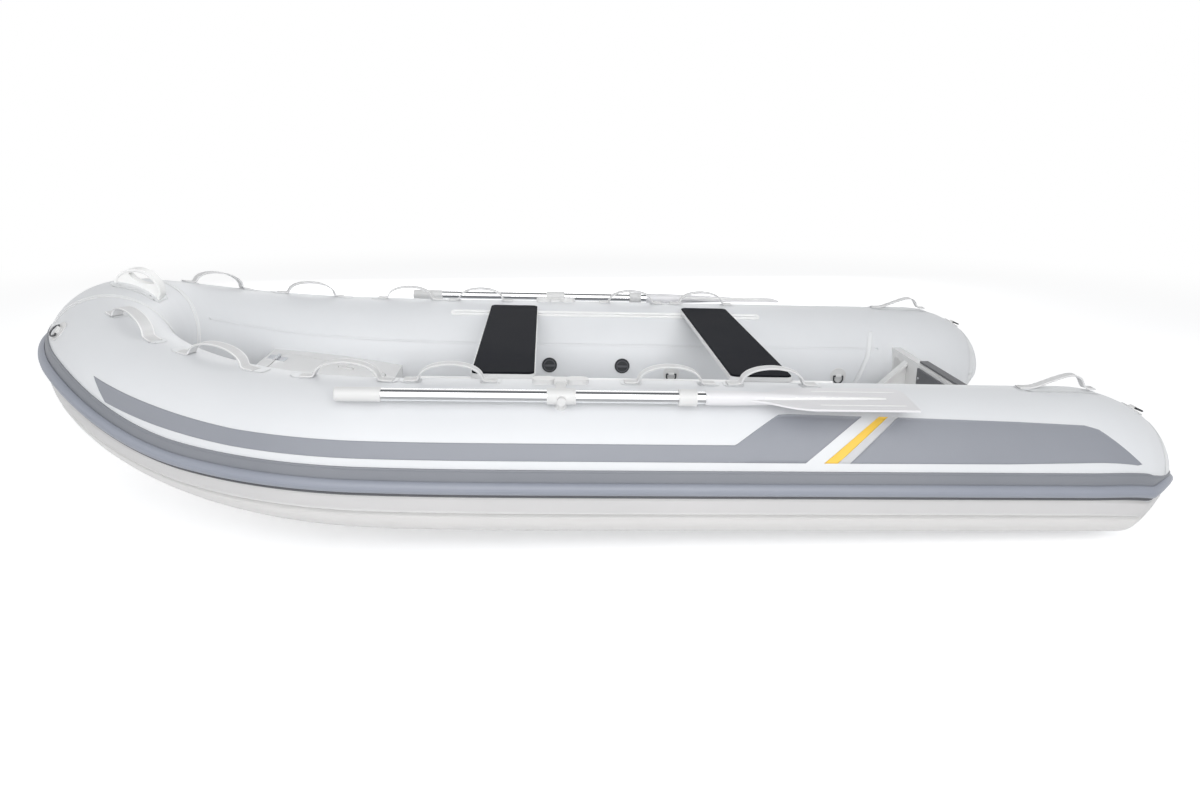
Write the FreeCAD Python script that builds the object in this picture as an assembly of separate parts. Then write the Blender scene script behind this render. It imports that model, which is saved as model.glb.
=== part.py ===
import FreeCAD, Part
import math
import os

# Inflatable boat with a rigid V hull. Millimetres; X forward, Y to port, Z up.
# The origin is on the centreline at mid length, on the waterline.

V = FreeCAD.Vector
UP = V(0, 0, 1)

# Tubes
TUBE_R = 225.0
TUBE_R_BOW = 197.0
TUBE_R_STERN = 222.0
TUBE_Y = 678.0
TUBE_Z = 285.0
SHEER_SLOPE = 0.0268
BOW_START_X = 607.0
BOW_X = 1595.0
BOW_LENGTH_POWER = 1.054
BOW_WIDTH_POWER = 1.027
BOW_RISE = 190.0
BOW_RISE_START_X = 59.0
BOW_RISE_POWER = 3.84
SEAM_ANGLE = 73.0
STERN_X = -1785.0
CONE_LENGTH = 335.0
CONE_LOWER_LENGTH = 145.0
CONE_LOWER_RISE = 140.0
CONE_LOWER_POWER = 1.15
CONE_BLUNTNESS = 0.55

# How glued pieces meet the skin, and how far joined solids reach into each other
GLUE_GAP = 0.3
SINK = 7.0
OVERLAP = 1.0

# Rubbing strake, given by heights measured round the tube
STRAKE_ANGLE = -3.5
STRAKE_HALF_HEIGHT = 45.0
STRAKE_THICKNESS = 5.0
BUMPER_ANGLE = -5.6
BUMPER_HALF_HEIGHT = 18.0
BUMPER_DEPTH = 17.0
STRAKE_END_DROP = 34.0
STRAKE_END_SLIM = 0.8

# Hull
KEEL_Z = -80.0
KEEL_HALF_WIDTH = 12.0
KEEL_RISE_START_X = 350.0
KEEL_RISE_POWER = 2.5
CHINE_ANGLE = 68.0
CHINE_DROP = 14.0
CHINE_FLAT = 30.0
SPRAY_RAIL_SHARE = 0.52
SPRAY_RAIL_WIDTH = 24.0
HULL_TOP_CLEARANCE = 45.0
STEM_ANGLE = 84.0
DECK_Z = 125.0
DECK_THICKNESS = 6.0

# Transom
TRANSOM_X = STERN_X + 410.0
TRANSOM_THICKNESS = 35.0
TRANSOM_TOP_Z = 340.0
PAD_THICKNESS = 8.0
OUTER_PAD_WIDTH = 380.0
OUTER_PAD_HEIGHT = 190.0
OUTER_PAD_LIP = 24.0
INNER_PAD_WIDTH = 330.0
INNER_PAD_HEIGHT = 130.0
INNER_PAD_DROP = 14.0
INNER_PAD_CORNER = 25.0
KNEE_Y = 300.0
KNEE_LENGTH = 190.0
KNEE_HEIGHT = 175.0
KNEE_THICKNESS = 10.0
KNEE_FLANGE = 40.0
PLATE_Y = -395.0
PLATE_SIZE = 62.0
PLATE_THICKNESS = 1.5
TUBE_PATCH_LENGTH = 132.0
TUBE_PATCH_LOW_ANGLE = 199.0
TUBE_PATCH_HIGH_ANGLE = 144.0

# Bow locker
LOCKER_X = 700.0
LOCKER_LENGTH = 465.0
LOCKER_AFT_Z = 295.0
LOCKER_FORE_Z = 400.0
LOCKER_WALL = 10.0
LID_X = 738.0
LID_LENGTH = 385.0
LID_HALF_WIDTH = 290.0
LID_THICKNESS = 12.0
LID_GAP = 3.0
LID_CORNER = 35.0
LID_REBATE = 18.0
HINGE_R = 6.0
HINGE_PIN_R = 2.5
HINGE_LENGTH = 60.0
HINGE_LEAF = 26.0
HINGE_LEAF_START = 6.5
HINGE_PLATE = 2.0
HINGE_PLAY = 0.5
HINGE_Y = 190.0
PULL_LENGTH = 62.0
PULL_WIDTH = 36.0
PULL_HEIGHT = 5.0
PULL_RIM = 6.0
PULL_FLOOR = 2.0
PULL_BAR_R = 2.0
PULL_X = 886.0
PULL_Y = 250.0

# Seats and their rails
SEAT_HALF_LENGTH = 580.0
SEAT_WIDTH = 196.0
SEAT_THICKNESS = 14.0
SEAT_PAD_THICKNESS = 5.0
SEAT_PAD_MARGIN = 3.0
SEAT_CORNER = 22.0
FORE_SEAT_X = 242.0
AFT_SEAT_X = -550.0
RAIL_ANGLE = 121.0
RAIL_FORE_X = 505.0
RAIL_AFT_X = -790.0
RAIL_WIDTH = 28.0
RAIL_BASE = 3.0
RAIL_BEAD_R = 6.0
RAIL_SINK = 6.0
SEAT_GAP = 0.3

# Grab straps, lifting straps and bow handle
STRAP_WIDTH = 30.0
STRAP_THICKNESS = 3.5
STRAP_HALF_SPAN = 92.0
STRAP_HEIGHT = 54.0
STRAP_FOOT = 42.0
STRAP_FOOT_MARGIN = 2.0
STRAP_ROUNDNESS = 0.85
STRAP_SINK = 9.0
STRAP_XS = (685.0, 387.0, -252.0, -556.0)
STRAP_BOW_ANGLES = (53.0, 29.5)
LIFT_AFT_X = STERN_X + 273.0
LIFT_LENGTH = 174.0
LIFT_PEAK = 46.0
LIFT_WIDTH = 36.0
LIFT_PATCH_LENGTH = 245.0
LIFT_PATCH_WIDTH = 70.0
LIFT_SHAPE = ((1.0, 0.0), (0.8, 0.12), (0.4, 0.42), (0.0, 0.76), (-0.35, 0.98), (-0.62, 1.0), (-0.84, 0.66), (-1.0, 0.0))
PATCH_THICKNESS = 1.6
HANDLE_ANGLE = 114.0
HANDLE_HALF_LENGTH = 78.0
HANDLE_WIDTH = 38.0
HANDLE_HEIGHT = 62.0
HANDLE_SINK = 30.0
HANDLE_SPRING = 8.0
HANDLE_BAND = 7.0
HANDLE_BAND_WIDTH = 50.0
HANDLE_GRIP = 13.0
HANDLE_EYE_HALF = 46.0
HANDLE_EYE_Z = 33.0
HANDLE_EYE_LOW = 19.0

# Rings and valves
RING_PATCH_R = 34.0
BOW_RING_ANGLE = 67.5
BOW_RING_HEIGHT_ANGLE = 40.0
STERN_RING_X = STERN_X + 113.0
INNER_RING_XS = (-405.0, -1112.0)
INNER_RING_ANGLE = 188.0
RING_WIRE_R = 3.0
RING_HALF_WIDTH = 19.0
RING_REACH = 30.0
RING_LEAN = 10.0
BOW_RING_SPIN = -50.0
RING_SEAT = 5.0
SADDLE_LENGTH = 24.0
SADDLE_WIDTH = 13.0
SADDLE_HEIGHT = 10.0
VALVE_XS = (100.0, -200.0)
VALVE_ANGLE = 180.0
VALVE_R = 31.0
VALVE_HEIGHT = 9.0
VALVE_FLANGE = 3.0
VALVE_RIM = 6.0
VALVE_TAPER = 3.0
VALVE_SINK = 4.0

# Oars and oarlocks; the pin leans outboard so that a swung blade dips and its grip rises
OAR_OUTBOARD = 147.0
OAR_HEIGHT = 221.5
OAR_PIN_X = 69.0
OAR_PIN_LEAN = 33.0
SHAFT_R = 17.5
SHAFT_FORE_X = 678.0
SHAFT_AFT_X = -420.0
GRIP_R = 20.0
GRIP_FORE_X = 691.0
GRIP_LENGTH = 128.0
GRIP_ROUND = 5.0
SLEEVE_R = 23.0
SLEEVE_HALF_LENGTH = 40.0
COLLAR_R = 24.0
COLLAR_FORE_X = -259.0
COLLAR_LENGTH = 51.0
BLADE_FORE_X = -335.0
BLADE_AFT_X = -921.0
BLADE_SOCKET_R = 21.0
BLADE_HALF_WIDTH = 88.0
BLADE_TILT = 5.0
BLADE_THICKNESS = 6.0
BLADE_FLARE_START_X = -430.0
BLADE_FLARE_END_X = -640.0
BLADE_FLARE_BEND = 0.45
BLADE_CORNER = 40.0
BLADE_NECK_INSET = 3.0
BLADE_SPINE_STOP = 70.0
BLADE_SPINE_END_R = 6.0
BLADE_RIB_R = 4.5
BLADE_RIB_STOP = 30.0
BLADE_RIB_START = 10.0
BLADE_RIB_SHARE = 0.62
LOCK_PIN_R = 6.0
LOCK_PIN_GAP = 0.08
LOCK_SEAT_GAP = 0.6
LOCK_BOSS_R = 17.0
LOCK_BOSS_LENGTH = 40.0
LOCK_ANGLE = 88.0
LOCK_LOBE_HEIGHT = 13.0
LOCK_LOBE_LENGTH = 66.0
LOCK_LOBE_WIDTH = 46.0
LOCK_LOBE_START = 16.0
LOCK_SINK = 8.0
LOCK_NECK_LENGTH = 40.0
LOCK_NECK_HEIGHT = 11.0
LOCK_ARM_ANGLES = (84.0, 74.0, 64.0, 54.0)
LOCK_ARM_HEIGHT = 8.0
LOCK_ARM_SINK = 6.0
LOCK_ARM_HALF_WIDTH = 15.0
LUG_REACH = 7.0
LUG_TOP_WALL = 1.5
KNOB_R = 12.0
KNOB_REACH = 9.0
KNOB_SLOPE = 0.25


# Shape of the tubes

def tube_centre_z(x):
    rise = max(0.0, (x - BOW_RISE_START_X) / (BOW_X - BOW_RISE_START_X))
    return TUBE_Z + SHEER_SLOPE * x + BOW_RISE * rise ** BOW_RISE_POWER


def tube_radius(x):
    if x < 0:
        return TUBE_R - (TUBE_R - TUBE_R_STERN) * x / STERN_X
    share = max(0.0, (x - BOW_RISE_START_X) / (BOW_X - BOW_RISE_START_X))
    return TUBE_R - (TUBE_R - TUBE_R_BOW) * share ** 2


class Section:
    """One upright cut across the port tube: its centre, where it faces and its radius."""

    def __init__(self, centre, heading, radius, near=None):
        self.centre = centre
        self.heading = heading
        self.out = V(-heading.y, heading.x, 0)
        self.radius = radius
        self.near = near

    def at(self, angle, distance=None):
        """A point by its angle from the outboard side, 90 on the crown."""
        reach = self.radius if distance is None else distance
        a = math.radians(angle)
        return self.centre + self.out * (reach * math.cos(a)) + UP * (reach * math.sin(a))

    def normal(self, angle):
        a = math.radians(angle)
        return self.out * math.cos(a) + UP * math.sin(a)

    def circle(self, extra=0.0):
        ring = Part.makeCircle(self.radius + extra)
        ring.Placement = FreeCAD.Placement(self.centre, FreeCAD.Rotation(UP, V(), self.heading, "ZXY"))
        return Part.Wire(ring)


def straight_section(x):
    """A cut of the straight part, with the cone at its aft end."""
    centre_z = tube_centre_z(x)
    radius = tube_radius(x)
    cone_start = STERN_X + CONE_LENGTH
    lower_start = STERN_X + CONE_LOWER_LENGTH
    top = radius
    bottom = radius
    if x < cone_start:
        share = min(1.0, (cone_start - x) / CONE_LENGTH)
        top = radius * (1.0 - share ** 2) ** CONE_BLUNTNESS
    if x < lower_start:
        bottom = radius - CONE_LOWER_RISE * ((lower_start - x) / CONE_LOWER_LENGTH) ** CONE_LOWER_POWER
    centre = V(x, TUBE_Y, centre_z + (top - bottom) / 2)
    return Section(centre, V(1, 0, 0), (top + bottom) / 2, lambda step: straight_section(x + step))


def bow_centre(angle):
    a = math.radians(angle)
    sine = math.sin(a)
    cosine = max(0.0, math.cos(a))
    x = BOW_START_X + (BOW_X - BOW_START_X) * sine ** BOW_LENGTH_POWER
    return V(x, TUBE_Y * cosine ** BOW_WIDTH_POWER, tube_centre_z(x))


def bow_section(angle):
    """A cut of the bow curve: angle 0 where it starts, 90 at the stem."""
    step = 0.05
    centre = bow_centre(angle)
    heading = V(0, -1, 0)
    if angle <= 0:
        heading = V(1, 0, 0)
    elif angle < 90:
        ahead = bow_centre(min(90.0, angle + step)) - bow_centre(angle - step)
        heading = V(ahead.x, ahead.y, 0).normalize()
    near = lambda step: bow_section(angle + math.degrees(step / TUBE_Y))
    return Section(centre, heading, tube_radius(centre.x), near)


def bow_section_at(x):
    """The cut of the bow curve whose centre is at x."""
    share = (x - BOW_START_X) / (BOW_X - BOW_START_X)
    return bow_section(math.degrees(math.asin(share ** (1.0 / BOW_LENGTH_POWER))))


def section_at(x):
    return straight_section(x) if x < BOW_START_X else bow_section_at(x)


def mirrored(section):
    centre = V(section.centre.x, -section.centre.y, section.centre.z)
    heading = V(-section.heading.x, section.heading.y, 0)
    return Section(centre, heading, section.radius)


def cone_sections():
    count = 8
    found = []
    for i in range(count + 1):
        share = math.cos(math.radians(90.0 * i / count))
        found.append(straight_section(STERN_X + CONE_LENGTH * (1.0 - share)))
    return found


def side_sections():
    """Cuts of the port tube from its aft tip to the bow seam."""
    found = cone_sections()
    start = STERN_X + CONE_LENGTH
    count = 6
    for i in range(1, count):
        found.append(straight_section(start + (BOW_START_X - start) * i / count))
    count = 8
    for i in range(count + 1):
        found.append(bow_section(SEAM_ANGLE * i / count))
    return found


def bow_sections():
    """Cuts of the bow tube from the port seam round to the starboard seam."""
    count = 4
    half = [bow_section(SEAM_ANGLE + (90.0 - SEAM_ANGLE) * i / count) for i in range(count + 1)]
    return half + [mirrored(cut) for cut in reversed(half[:-1])]


def tube(sections, extra=0.0):
    return Part.makeLoft([cut.circle(extra) for cut in sections], True, False)


def starboard(shape):
    return shape.mirror(V(0, 0, 0), V(0, 1, 0))


def polygon(points):
    return Part.makePolygon(list(points) + [points[0]])


def solid_between(wires, ruled=False):
    return Part.makeLoft(wires, True, ruled)


# Strake

def arc_edge(cut, distance, start, end):
    middle = (start + end) / 2
    return Part.Arc(cut.at(start, distance), cut.at(middle, distance), cut.at(end, distance)).toShape()


def strake_drop(cut):
    """How far round the tube the strake dives on the aft cone."""
    share = (STERN_X + CONE_LENGTH - cut.centre.x) / CONE_LENGTH
    return STRAKE_END_DROP * max(0.0, share) ** 3


def taper(cut):
    share = (STERN_X + CONE_LENGTH - cut.centre.x) / CONE_LENGTH
    return 1.0 - STRAKE_END_SLIM * max(0.0, share) ** 4


def band_wire(cut):
    """The band's profile; it starts below the skin and is cut back to it."""
    middle = STRAKE_ANGLE - strake_drop(cut)
    half = math.degrees(STRAKE_HALF_HEIGHT * taper(cut) / cut.radius)
    inner = cut.radius - SINK
    outer = cut.radius + GLUE_GAP + STRAKE_THICKNESS
    edges = [
        arc_edge(cut, inner, middle - half, middle + half),
        Part.makeLine(cut.at(middle + half, inner), cut.at(middle + half, outer)),
        arc_edge(cut, outer, middle + half, middle - half),
        Part.makeLine(cut.at(middle - half, outer), cut.at(middle - half, inner)),
    ]
    return Part.Wire(edges)


def bumper_wire(cut):
    middle = BUMPER_ANGLE - strake_drop(cut)
    half = math.degrees(BUMPER_HALF_HEIGHT * taper(cut) / cut.radius)
    inner = cut.radius + STRAKE_THICKNESS + 2 * GLUE_GAP
    crest = cut.at(middle, inner + BUMPER_DEPTH * taper(cut))
    low = cut.at(middle - half, inner)
    high = cut.at(middle + half, inner)
    return Part.Wire([Part.Arc(low, crest, high).toShape(), arc_edge(cut, inner, middle + half, middle - half)])


def strake_side(wire):
    return solid_between([wire(cut) for cut in side_sections()])


def strake_bow(wire):
    return solid_between([wire(cut) for cut in bow_sections()])


# Hull

def chine_point(cut):
    """Where the bottom meets the underside of the tube."""
    a = math.radians(CHINE_ANGLE)
    return cut.centre - cut.out * (cut.radius * math.cos(a)) - UP * (cut.radius * math.sin(a) + CHINE_DROP)


def keel_z(x):
    stem = chine_point(bow_section(90.0))
    share = max(0.0, (x - KEEL_RISE_START_X) / (stem.x - KEEL_RISE_START_X))
    return KEEL_Z + (stem.z - KEEL_Z) * share ** KEEL_RISE_POWER


def hull_outline(cut):
    """Half of a cut across the hull, from the keel out to the tube, as Y and Z."""
    chine = chine_point(cut)
    keel = keel_z(chine.x)
    size = chine.y / chine_point(bow_section(0)).y
    flat = CHINE_FLAT * size
    rail = SPRAY_RAIL_WIDTH * size
    keel_half = KEEL_HALF_WIDTH * size
    slope = (chine.z - keel) / (chine.y - flat - keel_half)
    rail_y = chine.y * SPRAY_RAIL_SHARE
    rail_z = keel + slope * (rail_y - keel_half)
    top = max(DECK_Z, chine.z + HULL_TOP_CLEARANCE)
    return [
        (keel_half, keel),
        (rail_y, rail_z),
        (rail_y + rail, rail_z),
        (rail_y + rail, rail_z + slope * rail),
        (chine.y - flat, chine.z),
        (chine.y, chine.z),
        (chine.y, top),
    ]


def hull_wire(cut):
    x = chine_point(cut).x
    half = hull_outline(cut)
    port = [V(x, y, z) for y, z in half]
    other = [V(x, -y, z) for y, z in reversed(half)]
    return polygon(port + other)


def hull_sections():
    fore_of_transom = TRANSOM_X + TRANSOM_THICKNESS
    count = 5
    found = []
    for i in range(count):
        found.append(straight_section(fore_of_transom + (BOW_START_X - fore_of_transom) * i / count))
    count = 9
    for i in range(count + 1):
        found.append(bow_section(STEM_ANGLE * i / count))
    return found


def make_hull(tubes):
    body = solid_between([hull_wire(cut) for cut in hull_sections()])
    for cutter in tubes:
        body = body.cut(cutter)
    return largest(body)


def largest(shape):
    return max(shape.Solids, key=lambda one: one.Volume)


def make_deck(tubes, hull):
    aft = TRANSOM_X + TRANSOM_THICKNESS
    plate = Part.makeBox(LOCKER_X - aft, 2 * TUBE_Y, DECK_THICKNESS, V(aft, -TUBE_Y, DECK_Z))
    for cutter in tubes + [hull]:
        plate = plate.cut(cutter)
    return largest(plate)


# Transom

def make_transom(tubes):
    aft_cut = straight_section(TRANSOM_X + TRANSOM_THICKNESS)
    half = hull_outline(aft_cut)[:-1]
    chine_y = half[-1][0]
    half.append((chine_y, TRANSOM_TOP_Z))
    port = [V(TRANSOM_X, y, z) for y, z in half]
    other = [V(TRANSOM_X, -y, z) for y, z in reversed(half)]
    plate = Part.Face(polygon(port + other)).extrude(V(TRANSOM_THICKNESS, 0, 0))
    for cutter in tubes:
        plate = plate.cut(cutter)
    return largest(plate)


def make_outer_pad():
    low = TRANSOM_TOP_Z - OUTER_PAD_HEIGHT
    outline = [
        V(TRANSOM_X - PAD_THICKNESS, 0, low),
        V(TRANSOM_X, 0, low),
        V(TRANSOM_X, 0, TRANSOM_TOP_Z),
        V(TRANSOM_X + OUTER_PAD_LIP, 0, TRANSOM_TOP_Z),
        V(TRANSOM_X + OUTER_PAD_LIP, 0, TRANSOM_TOP_Z + PAD_THICKNESS),
        V(TRANSOM_X - PAD_THICKNESS, 0, TRANSOM_TOP_Z + PAD_THICKNESS),
    ]
    pad = Part.Face(polygon(outline)).extrude(V(0, OUTER_PAD_WIDTH, 0))
    pad.translate(V(0, -OUTER_PAD_WIDTH / 2, 0))
    return pad


def make_inner_pad():
    x = TRANSOM_X + TRANSOM_THICKNESS
    top = TRANSOM_TOP_Z - INNER_PAD_DROP
    low = top - INNER_PAD_HEIGHT
    half = INNER_PAD_WIDTH / 2
    corner = INNER_PAD_CORNER
    outline = [
        V(x, -half, top),
        V(x, half, top),
        V(x, half, low + corner),
        V(x, half - corner, low),
        V(x, corner - half, low),
        V(x, -half, low + corner),
    ]
    return Part.Face(polygon(outline)).extrude(V(PAD_THICKNESS, 0, 0))


def make_knee():
    x = TRANSOM_X + TRANSOM_THICKNESS
    floor = DECK_Z + DECK_THICKNESS
    web = Part.Face(polygon([
        V(x, KNEE_Y, floor),
        V(x + KNEE_LENGTH, KNEE_Y, floor),
        V(x, KNEE_Y, floor + KNEE_HEIGHT),
    ])).extrude(V(0, KNEE_THICKNESS, 0))
    slant = V(KNEE_LENGTH, 0, -KNEE_HEIGHT).normalize()
    lift = V(KNEE_HEIGHT, 0, KNEE_LENGTH).normalize() * KNEE_THICKNESS
    foot = V(x + KNEE_LENGTH, KNEE_Y, floor)
    head = V(x, KNEE_Y, floor + KNEE_HEIGHT)
    outline = [
        head,
        foot,
        foot + V(lift.z * slant.x / -slant.z, 0, 0) + V(lift.x, 0, 0),
        head + V(0, 0, KNEE_THICKNESS / slant.x),
    ]
    flange = Part.Face(polygon(outline)).extrude(V(0, KNEE_FLANGE, 0))
    flange.translate(V(0, (KNEE_THICKNESS - KNEE_FLANGE) / 2, 0))
    return web.fuse(flange).removeSplitter()


def make_plate():
    x = TRANSOM_X + TRANSOM_THICKNESS
    z = TRANSOM_TOP_Z - PLATE_SIZE * 1.5
    return Part.makeBox(PLATE_THICKNESS, PLATE_SIZE, PLATE_SIZE, V(x, PLATE_Y - PLATE_SIZE / 2, z))


def tube_patch(x, length, start, end):
    """A thin reinforcement glued round part of the port tube; it starts below the skin."""
    wires = []
    for cut in (straight_section(x - length / 2), straight_section(x + length / 2)):
        inner = cut.radius - SINK
        outer = cut.radius + GLUE_GAP + PATCH_THICKNESS
        wires.append(Part.Wire([
            arc_edge(cut, inner, start, end),
            Part.makeLine(cut.at(end, inner), cut.at(end, outer)),
            arc_edge(cut, outer, end, start),
            Part.makeLine(cut.at(start, outer), cut.at(start, inner)),
        ]))
    return solid_between(wires, True)


# Bow locker

def locker_top_z(x):
    slope = (LOCKER_FORE_Z - LOCKER_AFT_Z) / LOCKER_LENGTH
    return LOCKER_AFT_Z + slope * (x - LOCKER_X)


def locker_block(aft, fore, floor, drop, half):
    """A block with the locker's slanted top, lowered by drop."""
    outline = [
        V(aft, -half, floor),
        V(fore, -half, floor),
        V(fore, -half, locker_top_z(fore) - drop),
        V(aft, -half, locker_top_z(aft) - drop),
    ]
    return Part.Face(polygon(outline)).extrude(V(0, 2 * half, 0))


def lid_outline(gap):
    """The lid seen from above, with rounded corners, larger by gap on each side."""
    aft = LID_X - gap
    fore = LID_X + LID_LENGTH + gap
    half = LID_HALF_WIDTH + gap
    tall = 2 * LOCKER_FORE_Z
    plate = Part.makeBox(fore - aft, 2 * half, tall, V(aft, -half, 0))
    upright = [edge for edge in plate.Edges if abs(edge.BoundBox.ZLength - tall) < 1]
    return plate.makeFillet(LID_CORNER + gap, upright)


def make_locker(tubes, wide_tubes, hull):
    far = LOCKER_X + LOCKER_LENGTH
    floor = DECK_Z
    body = locker_block(LOCKER_X, far, floor, 0.0, TUBE_Y)
    for cutter in tubes:
        body = body.cut(cutter)
    body = body.cut(hull)
    body = largest(body)
    inside = locker_block(LOCKER_X + LOCKER_WALL, far - LOCKER_WALL, floor, LID_THICKNESS + LOCKER_WALL, TUBE_Y)
    for cutter in wide_tubes:
        inside = inside.cut(cutter)
    body = body.cut(inside)
    sink = locker_block(LOCKER_X, far, floor, LID_THICKNESS, TUBE_Y)
    recess = lid_outline(LID_GAP).cut(sink)
    body = body.cut(recess)
    mouth = lid_outline(-LID_REBATE)
    body = body.cut(mouth)
    return largest(body)


def make_lid():
    slab = locker_block(LOCKER_X, LOCKER_X + LOCKER_LENGTH, DECK_Z, 0.0, TUBE_Y)
    under = locker_block(LOCKER_X, LOCKER_X + LOCKER_LENGTH, DECK_Z, LID_THICKNESS - GLUE_GAP, TUBE_Y)
    return largest(slab.cut(under).common(lid_outline(0.0)))


def on_locker(shape, x, y, lift=0.0):
    """Move a shape drawn with X ahead and Z up on to the locker's slanted top."""
    slope = (LOCKER_FORE_Z - LOCKER_AFT_Z) / LOCKER_LENGTH
    ahead = V(1, 0, slope).normalize()
    away = V(-slope, 0, 1).normalize()
    return placed(shape, V(x, y, locker_top_z(x)) + away * lift, ahead, away)


def knuckle(start, length, radius):
    return Part.makeCylinder(radius, length, V(0, start, HINGE_R), V(0, 1, 0))


def hinge_x():
    return LID_X + LID_LENGTH + LID_GAP / 2


def make_fixed_hinge():
    """The leaf on the rim, with the middle knuckle and the pin."""
    third = HINGE_LENGTH / 3
    leaf = Part.makeBox(HINGE_LEAF, HINGE_LENGTH, HINGE_PLATE, V(HINGE_LEAF_START, -HINGE_LENGTH / 2, 0))
    tongue = Part.makeBox(HINGE_LEAF_START + OVERLAP, third - 2 * HINGE_PLAY, HINGE_PLATE,
                          V(0, HINGE_PLAY - third / 2, 0))
    middle = knuckle(HINGE_PLAY - third / 2, third - 2 * HINGE_PLAY, HINGE_R)
    pin = knuckle(-HINGE_LENGTH / 2, HINGE_LENGTH, HINGE_PIN_R)
    return leaf.fuse([tongue, middle, pin]).removeSplitter()


def make_lid_hinge():
    """The leaf on the lid, with the two outer knuckles."""
    third = HINGE_LENGTH / 3
    leaf = Part.makeBox(HINGE_LEAF, HINGE_LENGTH, HINGE_PLATE,
                        V(-HINGE_LEAF_START - HINGE_LEAF, -HINGE_LENGTH / 2, 0))
    parts = []
    for start in (-HINGE_LENGTH / 2, third / 2 + HINGE_PLAY):
        length = third - HINGE_PLAY
        parts.append(knuckle(start, length, HINGE_R))
        parts.append(Part.makeBox(HINGE_LEAF_START + OVERLAP, length, HINGE_PLATE,
                                  V(-HINGE_LEAF_START - OVERLAP, start, 0)))
    return leaf.fuse(parts).cut(knuckle(-HINGE_LENGTH, 2 * HINGE_LENGTH, HINGE_PIN_R + LOCK_PIN_GAP)).removeSplitter()


def both_hinges(hinge):
    return Part.makeCompound([on_locker(hinge, hinge_x(), side * HINGE_Y) for side in (1, -1)])


def make_pull():
    """An oval finger pull: a flange with a dished well and a bar across it."""
    half = (PULL_LENGTH - PULL_WIDTH) / 2
    flange = Part.makeBox(2 * half, PULL_WIDTH, PULL_HEIGHT, V(-half, -PULL_WIDTH / 2, 0))
    well_r = PULL_WIDTH / 2 - PULL_RIM
    well = Part.makeBox(2 * half, 2 * well_r, PULL_HEIGHT, V(-half, -well_r, PULL_FLOOR))
    for side in (-1, 1):
        flange = flange.fuse(Part.makeCylinder(PULL_WIDTH / 2, PULL_HEIGHT, V(side * half, 0, 0)))
        well = well.fuse(Part.makeCylinder(well_r, PULL_HEIGHT, V(side * half, 0, PULL_FLOOR)))
    bar_half = well_r + OVERLAP
    bar = Part.makeCylinder(PULL_BAR_R, 2 * bar_half, V(0, -bar_half, PULL_HEIGHT - PULL_BAR_R), V(0, 1, 0))
    pull = flange.cut(well).fuse(bar).removeSplitter()
    return on_locker(largest(pull), PULL_X, PULL_Y)


# Seats and rails

def surface_frame(cut, angle):
    """A place on the tube's skin: its origin, the way along the tube and the way off it."""
    step = 1.0
    ahead = (cut.near(step).at(angle) - cut.near(-step).at(angle)).normalize()
    away = cut.normal(angle)
    away = (away - ahead * away.dot(ahead)).normalize()
    return cut.at(angle), ahead, away


def placed(shape, origin, ahead, away):
    """Move a shape drawn with X ahead and Z away from the skin to its place."""
    across = away.cross(ahead)
    turn = FreeCAD.Rotation(ahead, across, away, "XZY")
    copy = shape.copy()
    copy.Placement = FreeCAD.Placement(origin, turn).multiply(copy.Placement)
    return copy


def on_skin(shape, cut, angle):
    origin, ahead, away = surface_frame(cut, angle)
    return placed(shape, origin, ahead, away)


def make_rail(tubes):
    length = RAIL_FORE_X - RAIL_AFT_X
    middle = straight_section((RAIL_FORE_X + RAIL_AFT_X) / 2)
    height = RAIL_BASE + RAIL_SINK
    base = Part.makeBox(length, RAIL_WIDTH, height, V(-length / 2, -RAIL_WIDTH / 2, -RAIL_SINK))
    upright = [edge for edge in base.Edges if abs(edge.BoundBox.ZLength - height) < 0.01]
    base = base.makeFillet(RAIL_WIDTH / 2 - 1.0, upright)
    inset = RAIL_WIDTH / 2
    bead = Part.makeCylinder(RAIL_BEAD_R, length - 2 * inset, V(inset - length / 2, 0, RAIL_BASE + RAIL_BEAD_R),
                             V(1, 0, 0))
    web = Part.makeBox(length - 2 * inset, RAIL_BEAD_R, RAIL_BEAD_R + OVERLAP,
                       V(inset - length / 2, -RAIL_BEAD_R / 2, RAIL_BASE - OVERLAP / 2))
    rail = base.fuse([bead, web]).removeSplitter()
    rail = placed(rail, middle.at(RAIL_ANGLE), V(1, 0, SHEER_SLOPE).normalize(), middle.normal(RAIL_ANGLE))
    for cutter in tubes:
        rail = rail.cut(cutter)
    return largest(rail)


def rail_top_z(x):
    """Height of the top of the rail's bead."""
    middle_x = (RAIL_FORE_X + RAIL_AFT_X) / 2
    middle = straight_section(middle_x)
    bead = middle.at(RAIL_ANGLE, middle.radius + RAIL_BASE + RAIL_BEAD_R)
    return bead.z + RAIL_BEAD_R + SHEER_SLOPE * (x - middle_x)


def seat_slab(middle_x, low, thickness, margin):
    """A board across the boat on the rails, parallel to the tubes' own rise, its underside raised by low."""
    width = SEAT_WIDTH - 2 * margin
    half = SEAT_HALF_LENGTH - margin
    board = Part.makeBox(width, 2 * half, thickness, V(-width / 2, -half, 0))
    upright = [edge for edge in board.Edges if abs(edge.BoundBox.ZLength - thickness) < 0.01]
    board = board.makeFillet(SEAT_CORNER - margin / 2, upright)
    ahead = V(1, 0, SHEER_SLOPE).normalize()
    away = V(-SHEER_SLOPE, 0, 1).normalize()
    return placed(board, V(middle_x, 0, rail_top_z(middle_x) + SEAT_GAP) + away * low, ahead, away)


def make_seat(middle_x):
    return seat_slab(middle_x, 0.0, SEAT_THICKNESS, 0.0)


def make_seat_pad(middle_x):
    return seat_slab(middle_x, SEAT_THICKNESS, SEAT_PAD_THICKNESS, SEAT_PAD_MARGIN)


# Straps and handle

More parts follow.
